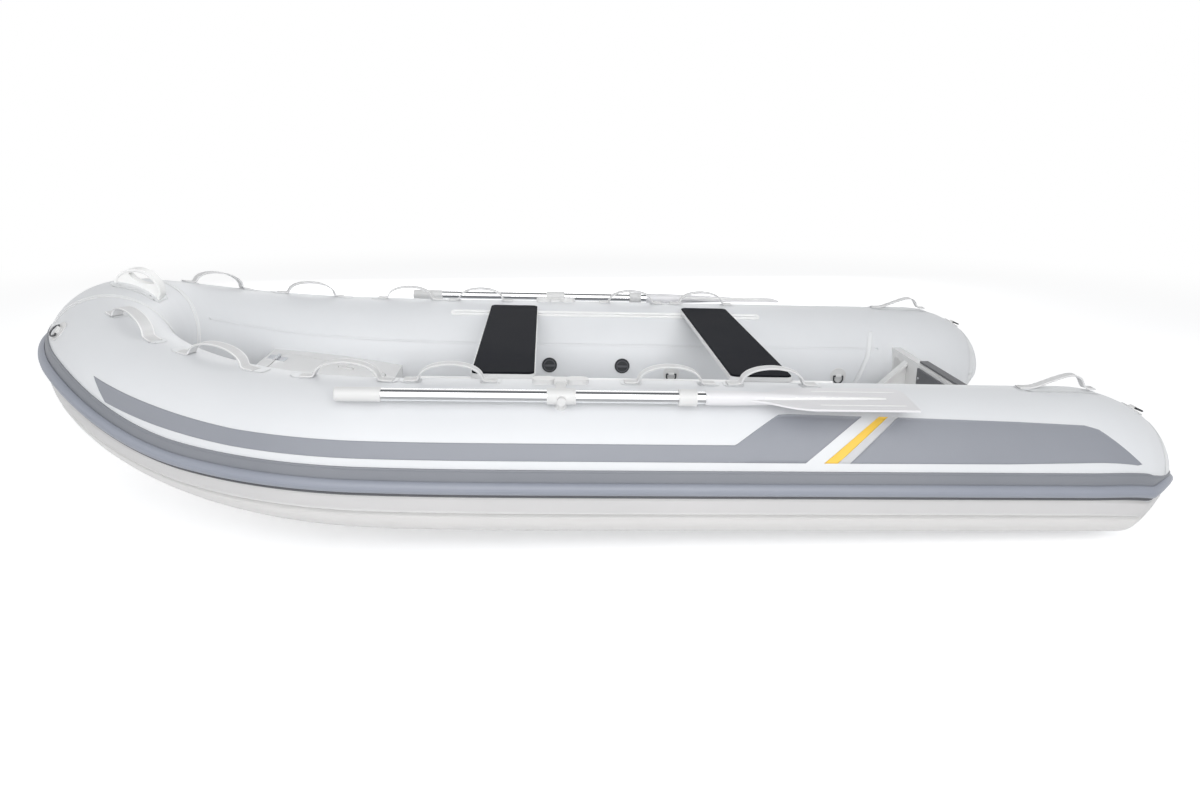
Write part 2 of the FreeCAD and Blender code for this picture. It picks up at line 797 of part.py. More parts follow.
def ribbon(points, width, thickness):
    """A flat webbing along points drawn in the X and Z plane."""
    wires = []
    last = len(points) - 1
    for i, point in enumerate(points):
        before = points[max(0, i - 1)]
        after = points[min(last, i + 1)]
        run = V(after[0] - before[0], 0, after[1] - before[1]).normalize()
        away = V(-run.z, 0, run.x) * (thickness / 2)
        side = V(0, width / 2, 0)
        centre = V(point[0], 0, point[1])
        wires.append(polygon([centre - away - side, centre + away - side, centre + away + side,
                              centre - away + side]))
    return solid_between(wires)


def strap_arch():
    """A raised webbing loop; it starts and ends just inside its feet."""
    count = 12
    points = []
    for i in range(count + 1):
        a = math.pi * i / count
        rise = math.sin(a) ** STRAP_ROUNDNESS if 0 < i < count else 0.0
        points.append((-STRAP_HALF_SPAN * math.cos(a), (STRAP_HEIGHT - STRAP_THICKNESS / 2) * rise))
    return ribbon(points, STRAP_WIDTH, STRAP_THICKNESS)


def make_strap(cut, cutter):
    foot_half = STRAP_FOOT / 2
    foot_width = STRAP_WIDTH + 2 * STRAP_FOOT_MARGIN
    arch = strap_arch()
    feet = []
    for side in (-1, 1):
        x = side * (STRAP_HALF_SPAN + foot_half / 2)
        foot = Part.makeBox(STRAP_FOOT, foot_width, STRAP_SINK + STRAP_THICKNESS,
                            V(x - foot_half, -foot_width / 2, -STRAP_SINK))
        feet.append(foot)
    loop = arch.fuse(feet).removeSplitter()
    loop = on_skin(loop, cut, 90.0)
    return largest(loop.cut(cutter))


def make_lifting_strap(cutter):
    """A carrying loop near the stern, with its steep end aft, on a long patch."""
    half = LIFT_LENGTH / 2
    middle = LIFT_AFT_X + half
    patch = Part.makeBox(LIFT_PATCH_LENGTH, LIFT_PATCH_WIDTH, PATCH_THICKNESS + SINK,
                         V(-LIFT_PATCH_LENGTH / 2, -LIFT_PATCH_WIDTH / 2, -SINK))
    peak = LIFT_PEAK - STRAP_THICKNESS / 2
    points = [(half * ahead, peak * rise) for ahead, rise in LIFT_SHAPE]
    loop = ribbon(points, LIFT_WIDTH, STRAP_THICKNESS)
    whole = on_skin(patch.fuse(loop).removeSplitter(), straight_section(middle), 90.0)
    return largest(whole.cut(cutter))


def handle_arch(inset, floor):
    """A face in the handle's long plane, under an arch that lies inset inside its top."""
    half = HANDLE_HALF_LENGTH - inset
    fore = V(half, 0, HANDLE_SPRING)
    aft = V(-half, 0, HANDLE_SPRING)
    fore_foot = V(half, 0, floor)
    aft_foot = V(-half, 0, floor)
    return Part.Face(Part.Wire([
        Part.makeLine(fore_foot, fore),
        Part.Arc(fore, V(0, 0, HANDLE_HEIGHT - inset), aft).toShape(),
        Part.makeLine(aft, aft_foot),
        Part.makeLine(aft_foot, fore_foot),
    ]))


def thick(face, width):
    body = face.extrude(V(0, width, 0))
    body.translate(V(0, -width / 2, 0))
    return body


def make_bow_handle(cutter):
    """A moulded handle: a solid foot, a wider band arched over it and a lens-shaped eye for the fingers."""
    foot = thick(handle_arch(0.0, -HANDLE_SINK), HANDLE_WIDTH)
    band = thick(handle_arch(0.0, -HANDLE_SINK), HANDLE_BAND_WIDTH)
    band = band.cut(thick(handle_arch(HANDLE_BAND, -2 * HANDLE_SINK), 2 * HANDLE_BAND_WIDTH))
    fore = V(HANDLE_EYE_HALF, 0, HANDLE_EYE_Z)
    aft = V(-HANDLE_EYE_HALF, 0, HANDLE_EYE_Z)
    eye = thick(Part.Face(Part.Wire([
        Part.Arc(fore, V(0, 0, HANDLE_HEIGHT - HANDLE_GRIP), aft).toShape(),
        Part.Arc(aft, V(0, 0, HANDLE_EYE_LOW), fore).toShape(),
    ])), 2 * HANDLE_BAND_WIDTH)
    body = foot.fuse(band).removeSplitter().cut(eye)
    cut = bow_section(90.0)
    away = cut.normal(HANDLE_ANGLE)
    ahead = V(away.z, 0, -away.x)
    return largest(placed(body, cut.at(HANDLE_ANGLE), ahead, away).cut(cutter))


# Rings and valves

def d_ring():
    """A welded ring of round wire standing on its straight side."""
    r = RING_HALF_WIDTH
    reach = RING_REACH - r
    path = Part.Wire([
        Part.makeLine(V(-r, 0, 0), V(r, 0, 0)),
        Part.makeLine(V(r, 0, 0), V(r, 0, reach)),
        Part.Arc(V(r, 0, reach), V(0, 0, reach + r), V(-r, 0, reach)).toShape(),
        Part.makeLine(V(-r, 0, reach), V(-r, 0, 0)),
    ])
    section = Part.Wire(Part.makeCircle(RING_WIRE_R, V(0, 0, 0), V(1, 0, 0)))
    return path.makePipeShell([section], True, True, 2)


def ring_saddle():
    """The moulded bridge that holds the ring's straight side."""
    block = Part.makeBox(SADDLE_LENGTH, SADDLE_WIDTH, SADDLE_HEIGHT, V(-SADDLE_LENGTH / 2, -SADDLE_WIDTH / 2, 0))
    long_edges = [edge for edge in block.Edges
                  if edge.BoundBox.XLength > SADDLE_LENGTH - 1 and edge.BoundBox.ZMax > SADDLE_HEIGHT - 1]
    block = block.makeFillet(SADDLE_WIDTH / 3, long_edges)
    bore = Part.makeCylinder(RING_WIRE_R + GLUE_GAP, 2 * SADDLE_LENGTH, V(-SADDLE_LENGTH, 0, RING_SEAT), V(1, 0, 0))
    return block.cut(bore)


def ring_patch():
    """A round patch with its saddle; it starts below the skin and is cut back to it."""
    disc = Part.makeCylinder(RING_PATCH_R, PATCH_THICKNESS + SINK, V(0, 0, -SINK))
    saddle = ring_saddle()
    saddle.translate(V(0, 0, PATCH_THICKNESS))
    return disc.fuse(saddle)


def hung_ring(spin, lean):
    """The ring in its saddle, turned by spin about the patch and leaning off the skin."""
    ring = d_ring()
    ring.rotate(V(0, 0, 0), V(1, 0, 0), lean - 90.0)
    ring.translate(V(0, 0, PATCH_THICKNESS + RING_SEAT))
    ring.rotate(V(0, 0, 0), V(0, 0, 1), spin)
    return ring


def make_valve(cut):
    flange = Part.makeCylinder(VALVE_R, VALVE_FLANGE + VALVE_SINK, V(0, 0, -VALVE_SINK))
    cap_r = VALVE_R - VALVE_RIM
    cap = Part.makeCone(cap_r, cap_r - VALVE_TAPER, VALVE_HEIGHT - VALVE_FLANGE, V(0, 0, VALVE_FLANGE))
    return on_skin(flange.fuse(cap), cut, VALVE_ANGLE)


# Oars

def oar_line(x):
    """The port oar's axis lies beside the tube and follows its rise."""
    return V(x, TUBE_Y + OAR_OUTBOARD, TUBE_Z + OAR_HEIGHT + SHEER_SLOPE * x)


def oar_direction():
    return V(1, 0, SHEER_SLOPE).normalize()


def pin_direction():
    a = math.radians(OAR_PIN_LEAN)
    lean = V(0, math.sin(a), math.cos(a))
    along = oar_direction()
    return (lean - along * lean.dot(along)).normalize()


def rod(fore_x, aft_x, radius):
    start = oar_line(aft_x)
    end = oar_line(fore_x)
    return Part.makeCylinder(radius, (end - start).Length, start, end - start)


def make_shaft():
    return rod(SHAFT_FORE_X, SHAFT_AFT_X, SHAFT_R)


def make_grip():
    outer = rod(GRIP_FORE_X, GRIP_FORE_X - GRIP_LENGTH, GRIP_R)
    ends = [edge for edge in outer.Edges if edge.Curve.TypeId == "Part::GeomCircle"]
    outer = outer.makeFillet(GRIP_ROUND, ends)
    return outer.cut(rod(SHAFT_FORE_X, SHAFT_AFT_X, SHAFT_R))


def make_fittings():
    """The sleeve in the oarlock with its lug and knob, and the collar outboard of it."""
    shaft = rod(SHAFT_FORE_X, SHAFT_AFT_X, SHAFT_R)
    pin = pin_direction()
    centre = oar_line(OAR_PIN_X)
    sleeve = rod(OAR_PIN_X + SLEEVE_HALF_LENGTH, OAR_PIN_X - SLEEVE_HALF_LENGTH, SLEEVE_R)
    lug_drop = SLEEVE_R + LUG_REACH
    lug = Part.makeCylinder(LOCK_BOSS_R, lug_drop, centre - pin * lug_drop, pin)
    knob_way = V(0, 1, -KNOB_SLOPE).normalize()
    knob = Part.makeCylinder(KNOB_R, SLEEVE_R + KNOB_REACH, centre, knob_way)
    sleeve = sleeve.fuse([lug, knob])
    bore_length = lug_drop - SHAFT_R - LUG_TOP_WALL
    bore = Part.makeCylinder(LOCK_PIN_R + LOCK_PIN_GAP, bore_length, centre - pin * lug_drop, pin)
    sleeve = sleeve.cut(shaft).cut(bore).removeSplitter()
    collar = rod(COLLAR_FORE_X, COLLAR_FORE_X - COLLAR_LENGTH, COLLAR_R).cut(shaft)
    return Part.makeCompound([largest(sleeve), largest(collar)])


def make_blade():
    """A flat blade with a spine and two ribs, moulded on to a round socket."""
    x0 = BLADE_FLARE_START_X
    x1 = BLADE_FLARE_END_X
    w0 = BLADE_SOCKET_R - BLADE_NECK_INSET
    w1 = BLADE_HALF_WIDTH
    end = BLADE_AFT_X
    r = BLADE_CORNER
    bend = (x0 - x1) * BLADE_FLARE_BEND

    def flare(side):
        poles = [V(x0, side * w0, 0), V(x0 - bend, side * w0, 0), V(x1 + bend, side * w1, 0), V(x1, side * w1, 0)]
        curve = Part.BezierCurve()
        curve.setPoles(poles)
        return curve.toShape()

    s = r * (1 - math.sqrt(0.5))
    outline = Part.Wire([
        flare(1),
        Part.makeLine(V(x1, w1, 0), V(end, w1, 0)),
        Part.makeLine(V(end, w1, 0), V(end, r - w1, 0)),
        Part.Arc(V(end, r - w1, 0), V(end + s, s - w1, 0), V(end + r, -w1, 0)).toShape(),
        Part.makeLine(V(end + r, -w1, 0), V(x1, -w1, 0)),
        flare(-1),
        Part.makeLine(V(x0, -w0, 0), V(x0, w0, 0)),
    ])
    outline = Part.Wire(Part.__sortEdges__(outline.Edges))
    plate = Part.Face(outline).extrude(V(0, 0, BLADE_THICKNESS))
    plate.translate(V(0, 0, -BLADE_THICKNESS / 2))
    socket = Part.makeCylinder(BLADE_SOCKET_R, BLADE_FORE_X - x0, V(x0, 0, 0), V(1, 0, 0))
    spine_end = end + BLADE_SPINE_STOP
    spine = Part.makeCone(BLADE_SPINE_END_R, BLADE_SOCKET_R, x0 - spine_end, V(spine_end, 0, 0), V(1, 0, 0))
    body = plate.fuse([socket, spine]).removeSplitter()
    rib_end = end + BLADE_RIB_STOP
    rib_length = x1 - BLADE_RIB_START - rib_end
    for side in (-1, 1):
        rib = Part.makeCylinder(BLADE_RIB_R, rib_length, V(rib_end, side * w1 * BLADE_RIB_SHARE, 0), V(1, 0, 0))
        body = body.fuse(rib)
    tilt = math.radians(BLADE_TILT)
    away = V(-SHEER_SLOPE * math.cos(tilt), math.sin(tilt), math.cos(tilt)).normalize()
    body = placed(body, oar_line(0), oar_direction(), away)
    return largest(body.cut(make_shaft()))


# Oarlock base

def lock_foot():
    """Where the pin's boss ends, under the sleeve."""
    return oar_line(OAR_PIN_X) - pin_direction() * (SLEEVE_R + LUG_REACH + LOCK_SEAT_GAP)


def make_lock_base(cutter):
    """A base on the tube's crown with two lobes and an arm out to the pin's boss."""
    cut = straight_section(OAR_PIN_X)
    lobes = []
    height = LOCK_LOBE_HEIGHT + LOCK_SINK
    for side in (-1, 1):
        middle = side * (LOCK_LOBE_LENGTH / 2 + LOCK_LOBE_START)
        corner = V(middle - LOCK_LOBE_LENGTH / 2, -LOCK_LOBE_WIDTH / 2, -LOCK_SINK)
        lobe = Part.makeBox(LOCK_LOBE_LENGTH, LOCK_LOBE_WIDTH, height, corner)
        upright = [edge for edge in lobe.Edges if abs(edge.BoundBox.ZLength - height) < 0.01]
        lobes.append(lobe.makeFillet(LOCK_LOBE_WIDTH / 2 - 1.0, upright))
    neck = Part.makeBox(LOCK_NECK_LENGTH, LOCK_LOBE_WIDTH, LOCK_NECK_HEIGHT + LOCK_SINK,
                        V(-LOCK_NECK_LENGTH / 2, -LOCK_LOBE_WIDTH / 2, -LOCK_SINK))
    crown = [on_skin(piece, cut, LOCK_ANGLE) for piece in lobes + [neck]]
    pin = pin_direction()
    boss = Part.makeCylinder(LOCK_BOSS_R, LOCK_BOSS_LENGTH, lock_foot() - pin * LOCK_BOSS_LENGTH, pin)
    half = V(LOCK_ARM_HALF_WIDTH, 0, 0)
    arm_sections = []
    for angle in LOCK_ARM_ANGLES:
        high = cut.at(angle, cut.radius + LOCK_ARM_HEIGHT)
        low = cut.at(angle, cut.radius - LOCK_ARM_SINK)
        arm_sections.append(polygon([high - half, high + half, low + half, low - half]))
    arm = solid_between(arm_sections)
    base = crown[0].fuse(crown[1:] + [boss, arm]).removeSplitter()
    return largest(base.cut(cutter))


def make_lock_pin():
    """The pin stops short of the bore's end, under the shaft."""
    reach = SLEEVE_R + LUG_REACH + LOCK_SEAT_GAP - SHAFT_R - 2 * LUG_TOP_WALL
    return Part.makeCylinder(LOCK_PIN_R, reach, lock_foot(), pin_direction())


def both(port_shape):
    return Part.makeCompound([port_shape, starboard(port_shape)])


def save(name, shape):
    shape.exportStep("parts/" + name + ".step")
    print(name, len(shape.Solids), round(shape.Volume / 1e6, 3), shape.isValid())


def main():
    os.makedirs("parts", exist_ok=True)
    side_tube = tube(side_sections())
    bow_tube = tube(bow_sections())
    save("port_tube", side_tube)
    save("starboard_tube", starboard(side_tube))
    save("bow_tube", bow_tube)

    side_cutter = tube(side_sections(), GLUE_GAP)
    bow_cutter = tube(bow_sections(), GLUE_GAP)
    tubes = [side_cutter, starboard(side_cutter), bow_cutter]
    wall = GLUE_GAP + LOCKER_WALL
    wide_side = tube(side_sections(), wall)
    wide_tubes = [wide_side, starboard(wide_side), tube(bow_sections(), wall)]

    side_band = largest(strake_side(band_wire).cut(side_cutter))
    side_bumper = strake_side(bumper_wire)
    save("port_strake_band", side_band)
    save("starboard_strake_band", starboard(side_band))
    save("bow_strake_band", largest(strake_bow(band_wire).cut(bow_cutter)))
    save("port_strake_bumper", side_bumper)
    save("starboard_strake_bumper", starboard(side_bumper))
    save("bow_strake_bumper", strake_bow(bumper_wire))

    hull = make_hull(tubes)
    save("hull", hull)
    save("deck", make_deck(tubes, hull))
    transom = make_transom(tubes)
    save("transom", transom)
    save("transom_outer_pad", make_outer_pad())
    save("transom_inner_pad", make_inner_pad())
    save("transom_knees", both(make_knee()))
    save("transom_blank_plate", make_plate())
    patch_x = TRANSOM_X + TRANSOM_THICKNESS / 4
    patch = tube_patch(patch_x, TUBE_PATCH_LENGTH, TUBE_PATCH_HIGH_ANGLE, TUBE_PATCH_LOW_ANGLE)
    save("transom_patches", both(patch.cut(side_cutter).cut(transom)))

    save("bow_locker", make_locker(tubes, wide_tubes, hull))
    save("locker_lid", make_lid())
    save("locker_hinges", both_hinges(make_fixed_hinge()))
    save("lid_hinge_leaves", both_hinges(make_lid_hinge()))
    save("lid_pulls", both(make_pull()))

    save("seat_rails", both(make_rail(tubes)))
    save("fore_seat", make_seat(FORE_SEAT_X))
    save("fore_seat_pad", make_seat_pad(FORE_SEAT_X))
    save("aft_seat", make_seat(AFT_SEAT_X))
    save("aft_seat_pad", make_seat_pad(AFT_SEAT_X))

    straps = [make_strap(section_at(x), side_cutter) for x in STRAP_XS]
    straps += [make_strap(bow_section(angle), side_cutter) for angle in STRAP_BOW_ANGLES]
    save("port_grab_straps", Part.makeCompound(straps))
    save("starboard_grab_straps", starboard(Part.makeCompound(straps)))
    save("stern_lifting_straps", both(make_lifting_strap(side_cutter)))
    save("bow_handle", make_bow_handle(bow_cutter))

    save("valves", both(Part.makeCompound(
        [largest(make_valve(straight_section(x)).cut(side_cutter)) for x in VALVE_XS])))

    bow_spot = (bow_section(BOW_RING_ANGLE), BOW_RING_HEIGHT_ANGLE, BOW_RING_SPIN)
    stern_spot = (straight_section(STERN_RING_X), 90.0, 90.0)
    inner_spots = [(straight_section(x), INNER_RING_ANGLE, 180.0) for x in INNER_RING_XS]
    patches = []
    for cut, angle, spin in [bow_spot, stern_spot] + inner_spots:
        patch = ring_patch()
        patch.rotate(V(0, 0, 0), V(0, 0, 1), spin)
        cutter = bow_cutter if cut.centre.x > bow_section(SEAM_ANGLE).centre.x else side_cutter
        patches.append(largest(on_skin(patch, cut, angle).cut(cutter)))
    save("ring_patches", both(Part.makeCompound(patches)))
    for name, spots in (("bow_rings", [bow_spot]), ("stern_rings", [stern_spot]), ("inner_rings", inner_spots)):
        rings = [on_skin(hung_ring(spin, RING_LEAN), cut, angle) for cut, angle, spin in spots]
        save(name, both(Part.makeCompound(rings)))

    save("oarlock_bases", both(make_lock_base(side_cutter)))
    save("oarlock_pins", both(make_lock_pin()))
    for name, shape in (("oar_shaft", make_shaft()), ("oar_grip", make_grip()),
                        ("oar_fittings", make_fittings()), ("oar_blade", make_blade())):
        save("port_" + name, shape)
        save("starboard_" + name, starboard(shape))


main()
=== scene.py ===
# %% [markdown]
# An inflatable boat with a rigid hull, dressed for a studio picture. The solids of the boat come from the
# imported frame: hull, locker, seats, oars, rings. Blender adds what a solid can't show, which is the glued
# fabric of the collar, its tapes and stripes, the webbing, the covers and the finishes. Everything is in
# metres in the boat's own frame: X to the bow, Y to port, Z up, with the waterline at zero.

# %% Load the frame
import bpy
import math
from mathutils import Matrix, Vector, noise


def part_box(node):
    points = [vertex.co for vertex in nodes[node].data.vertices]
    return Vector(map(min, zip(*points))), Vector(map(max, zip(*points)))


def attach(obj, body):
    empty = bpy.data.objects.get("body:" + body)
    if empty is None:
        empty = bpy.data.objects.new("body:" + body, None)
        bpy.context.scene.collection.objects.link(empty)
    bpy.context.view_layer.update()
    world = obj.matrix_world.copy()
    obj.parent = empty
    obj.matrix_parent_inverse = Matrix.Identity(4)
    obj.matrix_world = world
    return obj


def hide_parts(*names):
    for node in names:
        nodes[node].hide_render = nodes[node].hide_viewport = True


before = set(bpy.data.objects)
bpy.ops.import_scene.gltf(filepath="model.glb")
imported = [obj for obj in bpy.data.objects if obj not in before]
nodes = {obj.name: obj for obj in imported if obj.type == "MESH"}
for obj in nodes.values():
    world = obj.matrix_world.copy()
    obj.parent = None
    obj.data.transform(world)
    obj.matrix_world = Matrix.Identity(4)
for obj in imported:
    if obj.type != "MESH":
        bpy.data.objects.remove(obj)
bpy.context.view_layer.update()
UP = Vector((0.0, 0.0, 1.0))


def add_object(name, data):
    thing = bpy.data.objects.new(name, data)
    bpy.context.scene.collection.objects.link(thing)
    return thing


# %% [markdown]
# The camera stands to port of the boat, a little above the tube, and looks slightly down and aft. A camera
# can be matched by eye or solved from known lines. Here the two tubes, the strake and the two oars gave its
# place and lens, so it is set straight from its three axes.

# %% Camera
CAMERA_PLACE = Vector((0.1008, 3.3936, 1.2236))
CAMERA_RIGHT = Vector((-0.99852, 0.05437, 0.0))
CAMERA_UP = Vector((-0.01480, -0.27171, 0.96227))
SENSOR_WIDTH = 36.0
LENS = 28.75

camera_data = bpy.data.cameras.new("Camera")
camera_data.sensor_fit = "HORIZONTAL"
camera_data.sensor_width = SENSOR_WIDTH
camera_data.lens = LENS
camera_data.clip_end = 200.0
camera = add_object("Camera", camera_data)
back = CAMERA_RIGHT.cross(CAMERA_UP).normalized()
turn = Matrix((CAMERA_RIGHT, back.cross(CAMERA_RIGHT), back)).transposed()
camera.matrix_world = Matrix.Translation(CAMERA_PLACE) @ turn.to_4x4()
bpy.context.scene.camera = camera
print("camera lens", LENS)

# %% [markdown]
# The floor, the world, the finishes and their shared effects are all node trees. A tree can be written out
# link by link, but a few short tools let it read like the sum that it is: one fills a node's inputs and one
# does arithmetic.

# %% Tools for node trees

def feed(node, entry, value):
    """Link an input to a (node, output) pair, or give it a value of its own."""
    if isinstance(value, tuple) and isinstance(value[0], bpy.types.Node):
        source, output = value
        node.id_data.links.new(source.outputs[output], node.inputs[entry])
    else:
        node.inputs[entry].default_value = value


def fill(node, inputs):
    for label, value in inputs.items():
        feed(node, label.replace("_", " "), value)
    return node


def add_node(tree, kind, **inputs):
    return fill(tree.nodes.new("ShaderNode" + kind), inputs)


def maths(tree, operation, *operands, clamp=False):
    """The output of a Math node; each operand is a number or a (node, output) pair."""
    node = add_node(tree, "Math")
    node.operation = operation
    node.use_clamp = clamp
    for i, operand in enumerate(operands):
        feed(node, i, operand)
    return node, 0


def cleared_tree(owner):
    owner.use_nodes = True
    owner.node_tree.nodes.clear()
    return owner.node_tree


print("node tools ready")

# %% [markdown]
# The picture is a studio cut-out on white. A white sweep could be a curved wall, but a floor that fades
# into a white world gives the same picture from every side and keeps the soft shadow under the boat. The
# floor lies at the waterline, so it hides the keel as water would.

# %% Floor, world and lamps
FLOOR_HALF = 30.0
FLOOR_COLOUR = (0.90, 0.90, 0.905, 1.0)
FADE_START = 3.2
FADE_END = 7.5
FLOOR_GLOW = 0.47
WORLD_LIGHT = 0.39
WORLD_COLOUR = (0.97, 0.985, 1.0, 1.0)
LAMPS = (
    ("key_over", (-0.3, 3.4, 3.4), (0.0, 0.2, 0.2), 4.2, 1.8, 31.0),
    ("fill_port", (0.0, 5.2, 2.5), (-0.1, 0.2, 0.25), 4.8, 2.2, 113.0),
    ("rim_starboard", (0.3, -4.4, 2.6), (0.0, -0.4, 0.2), 4.4, 1.6, 30.0),
    ("bow_soft", (4.8, 1.4, 2.2), (1.2, 0.2, 0.4), 2.6, 1.8, 12.0),
)
HIDDEN_LAMPS = (
    ("inside_soft", (-0.1, 0.35, 1.15), (-0.1, -0.60, 0.30), 2.6, 0.3, 5.0),
    ("hull_low", (0.0, 4.3, 0.5), (0.0, 0.5, 0.05), 5.0, 0.5, 16.0),
    ("starboard_low", (0.0, -4.6, 1.0), (0.0, -0.7, 0.2), 4.8, 1.2, 46.0),
    ("stern_low", (-4.6, 0.0, 1.2), (-1.6, 0.0, 0.2), 2.2, 1.2, 12.0),
)


def background_rays(tree):
    """One for rays from the camera, off a shiny surface or through a clear one, nought for diffuse light."""
    path = add_node(tree, "LightPath")
    total = (path, "Is Camera Ray")
    for kind in ("Is Glossy Ray", "Is Transmission Ray"):
        total = maths(tree, "MAXIMUM", total, (path, kind))
    return total


def mix_shaders(tree, factor, first, second):
    mix = add_node(tree, "MixShader")
    for i, source in enumerate((factor, (first, 0), (second, 0))):
        feed(mix, i, source)
    return mix, 0


def make_floor():
    """A wide plane that turns from matt paint to plain white with the distance from the boat."""
    mesh = bpy.data.meshes.new("floor")
    corners = [(x * FLOOR_HALF, y * FLOOR_HALF, 0) for x, y in ((-1, -1), (1, -1), (1, 1), (-1, 1))]
    mesh.from_pydata(corners, [], [(0, 1, 2, 3)])
    floor = add_object("floor", mesh)
    paint = bpy.data.materials.new("studio_floor")
    tree = cleared_tree(paint)
    distance = add_node(tree, "VectorMath", Vector=(add_node(tree, "TexCoord"), "Object"))
    distance.operation = "LENGTH"
    fade = add_node(tree, "MapRange", Value=(distance, "Value"), From_Min=FADE_START, From_Max=FADE_END)
    fade.interpolation_type = "SMOOTHSTEP"
    matt = add_node(tree, "BsdfDiffuse", Color=FLOOR_COLOUR)
    glow = add_node(tree, "Emission", Strength=maths(tree, "MULTIPLY", background_rays(tree), FLOOR_GLOW))
    both = add_node(tree, "AddShader")
    feed(both, 0, (matt, 0))
    feed(both, 1, (glow, 0))
    white = add_node(tree, "Emission", Strength=1.0)
    add_node(tree, "OutputMaterial", Surface=mix_shaders(tree, (fade, "Result"), both, white))
    mesh.materials.append(paint)


def make_world():
    """White for the camera and in reflections, and a dimmer light on everything else."""
    world = bpy.data.worlds.new("studio")
    tree = cleared_tree(world)
    seen = add_node(tree, "Background", Color=(1.0, 1.0, 1.0, 1.0), Strength=1.0)
    light = add_node(tree, "Background", Color=WORLD_COLOUR, Strength=WORLD_LIGHT)
    add_node(tree, "OutputWorld", Surface=mix_shaders(tree, background_rays(tree), light, seen))
    bpy.context.scene.world = world


def make_lamp(name, place, target, width, height, power):
    lamp = bpy.data.lights.new(name, "AREA")
    lamp.shape = "RECTANGLE"
    lamp.size = width
    lamp.size_y = height
    lamp.energy = power
    holder = add_object(name, lamp)
    holder.location = place
    holder.rotation_euler = (Vector(target) - Vector(place)).to_track_quat("-Z", "Y").to_euler()
    return holder


make_floor()
make_world()
for lamp in LAMPS:
    make_lamp(*lamp)
for lamp in HIDDEN_LAMPS:
    holder = make_lamp(*lamp)
    holder.visible_camera = False
    holder.visible_glossy = False
bpy.context.scene.view_settings.view_transform = "Standard"
print("lamps", len(LAMPS) + len(HIDDEN_LAMPS))

# %% [markdown]
# Effects that several finishes share are node groups with named inputs: a fine cloth grain, a slow colour
# drift, a moulded stipple, a raised non-slip pattern and a brushed streak. Each gives a height, or a mask
# that mixes colours in the material. They read object coordinates, because every piece is drawn in the
# boat's own metres.

# %% Tools for node groups

def new_group(name, inputs, output):
    """A group with numbers as inputs and one as output, and its two end nodes."""
    group = bpy.data.node_groups.new(name, "ShaderNodeTree")
    for label, value in inputs.items():
        socket = group.interface.new_socket(label, in_out="INPUT", socket_type="NodeSocketFloat")
        socket.default_value = value
    group.interface.new_socket(output, in_out="OUTPUT", socket_type="NodeSocketFloat")
    return group, group.nodes.new("NodeGroupInput"), group.nodes.new("NodeGroupOutput")


def object_place(tree):
    return add_node(tree, "TexCoord"), "Object"


def noise_value(tree, place, scale, detail, roughness=0.6):
    return add_node(tree, "TexNoise", Vector=place, Scale=scale, Detail=detail, Roughness=roughness), "Fac"


def ridges(tree, angle):
    """Rounded ridges with sharp valleys between them."""
    return maths(tree, "ABSOLUTE", maths(tree, "SINE", angle))


# %% Cloth grain group

def cloth_grain_group():
    group, start, end = new_group("cloth_grain", {"Threads per metre": 900.0, "Unevenness": 0.3}, "Height")
    place = object_place(group)
    threads = (start, "Threads per metre")
    parts = add_node(group, "SeparateXYZ", Vector=place)
    x, y, z = (ridges(group, maths(group, "MULTIPLY", (parts, axis), threads)) for axis in "XYZ")
    weave = maths(group, "ADD", maths(group, "ADD", x, y), z)
    drift = noise_value(group, place, threads, 3.0)
    uneven = maths(group, "MULTIPLY", drift, (start, "Unevenness"))
    feed(end, "Height", maths(group, "ADD", weave, uneven))
    return group


# %% Slow drift group

def slow_drift_group():
    group, start, end = new_group("slow_drift", {"Scale": 3.0, "Contrast": 1.0}, "Mask")
    broad = noise_value(group, object_place(group), (start, "Scale"), 5.0, 0.55)
    strong = maths(group, "MULTIPLY", maths(group, "SUBTRACT", broad, 0.5), (start, "Contrast"))
    feed(end, "Mask", maths(group, "ADD", strong, 0.5, clamp=True))
    return group


# %% Moulded stipple group

def stipple_group():
    group, start, end = new_group("moulded_stipple", {"Grains per metre": 700.0}, "Height")
    place = object_place(group)
    grains = (start, "Grains per metre")
    cells = add_node(group, "TexVoronoi", Vector=place, Scale=grains)
    cells.feature = "SMOOTH_F1"
    fine = noise_value(group, place, grains, 4.0)
    feed(end, "Height", maths(group, "ADD", (cells, "Distance"), fine))
    return group


# %% Non-slip pattern group

def non_slip_group():
    group, start, end = new_group("non_slip", {"Pitch": 0.011, "Sharpness": 3.0}, "Height")
    parts = add_node(group, "SeparateXYZ", Vector=object_place(group))
    waves = []
    for sign in (1.0, -1.0):
        slant = maths(group, "ADD", (parts, "X"), maths(group, "MULTIPLY", (parts, "Y"), sign))
        turns = maths(group, "DIVIDE", slant, (start, "Pitch"))
        waves.append(ridges(group, maths(group, "MULTIPLY", turns, math.pi)))
    product = maths(group, "MULTIPLY", *waves)
    feed(end, "Height", maths(group, "MULTIPLY", product, (start, "Sharpness"), clamp=True))
    return group


# %% Brushed streak group

def brushed_group():
    group, start, end = new_group("brushed_streak", {"Length": 2.0, "Fineness": 900.0}, "Height")
    parts = add_node(group, "SeparateXYZ", Vector=object_place(group))
    joined = add_node(group, "CombineXYZ")
    for axis, entry in (("X", "Length"), ("Y", "Fineness"), ("Z", "Fineness")):
        feed(joined, axis, maths(group, "MULTIPLY", (parts, axis), (start, entry)))
    feed(end, "Height", noise_value(group, (joined, "Vector"), 1.0, 3.0))
    return group


# %% Painted reflection bands group
PAINTED_REFLECTION_BANDS = ((0.18, 1.0), (0.24, 0.45), (0.32, 0.35), (0.42, 0.12), (0.47, 0.95), (0.80, 1.0), (0.85, 0.0),
              (0.94, 0.02), (0.965, 0.9))


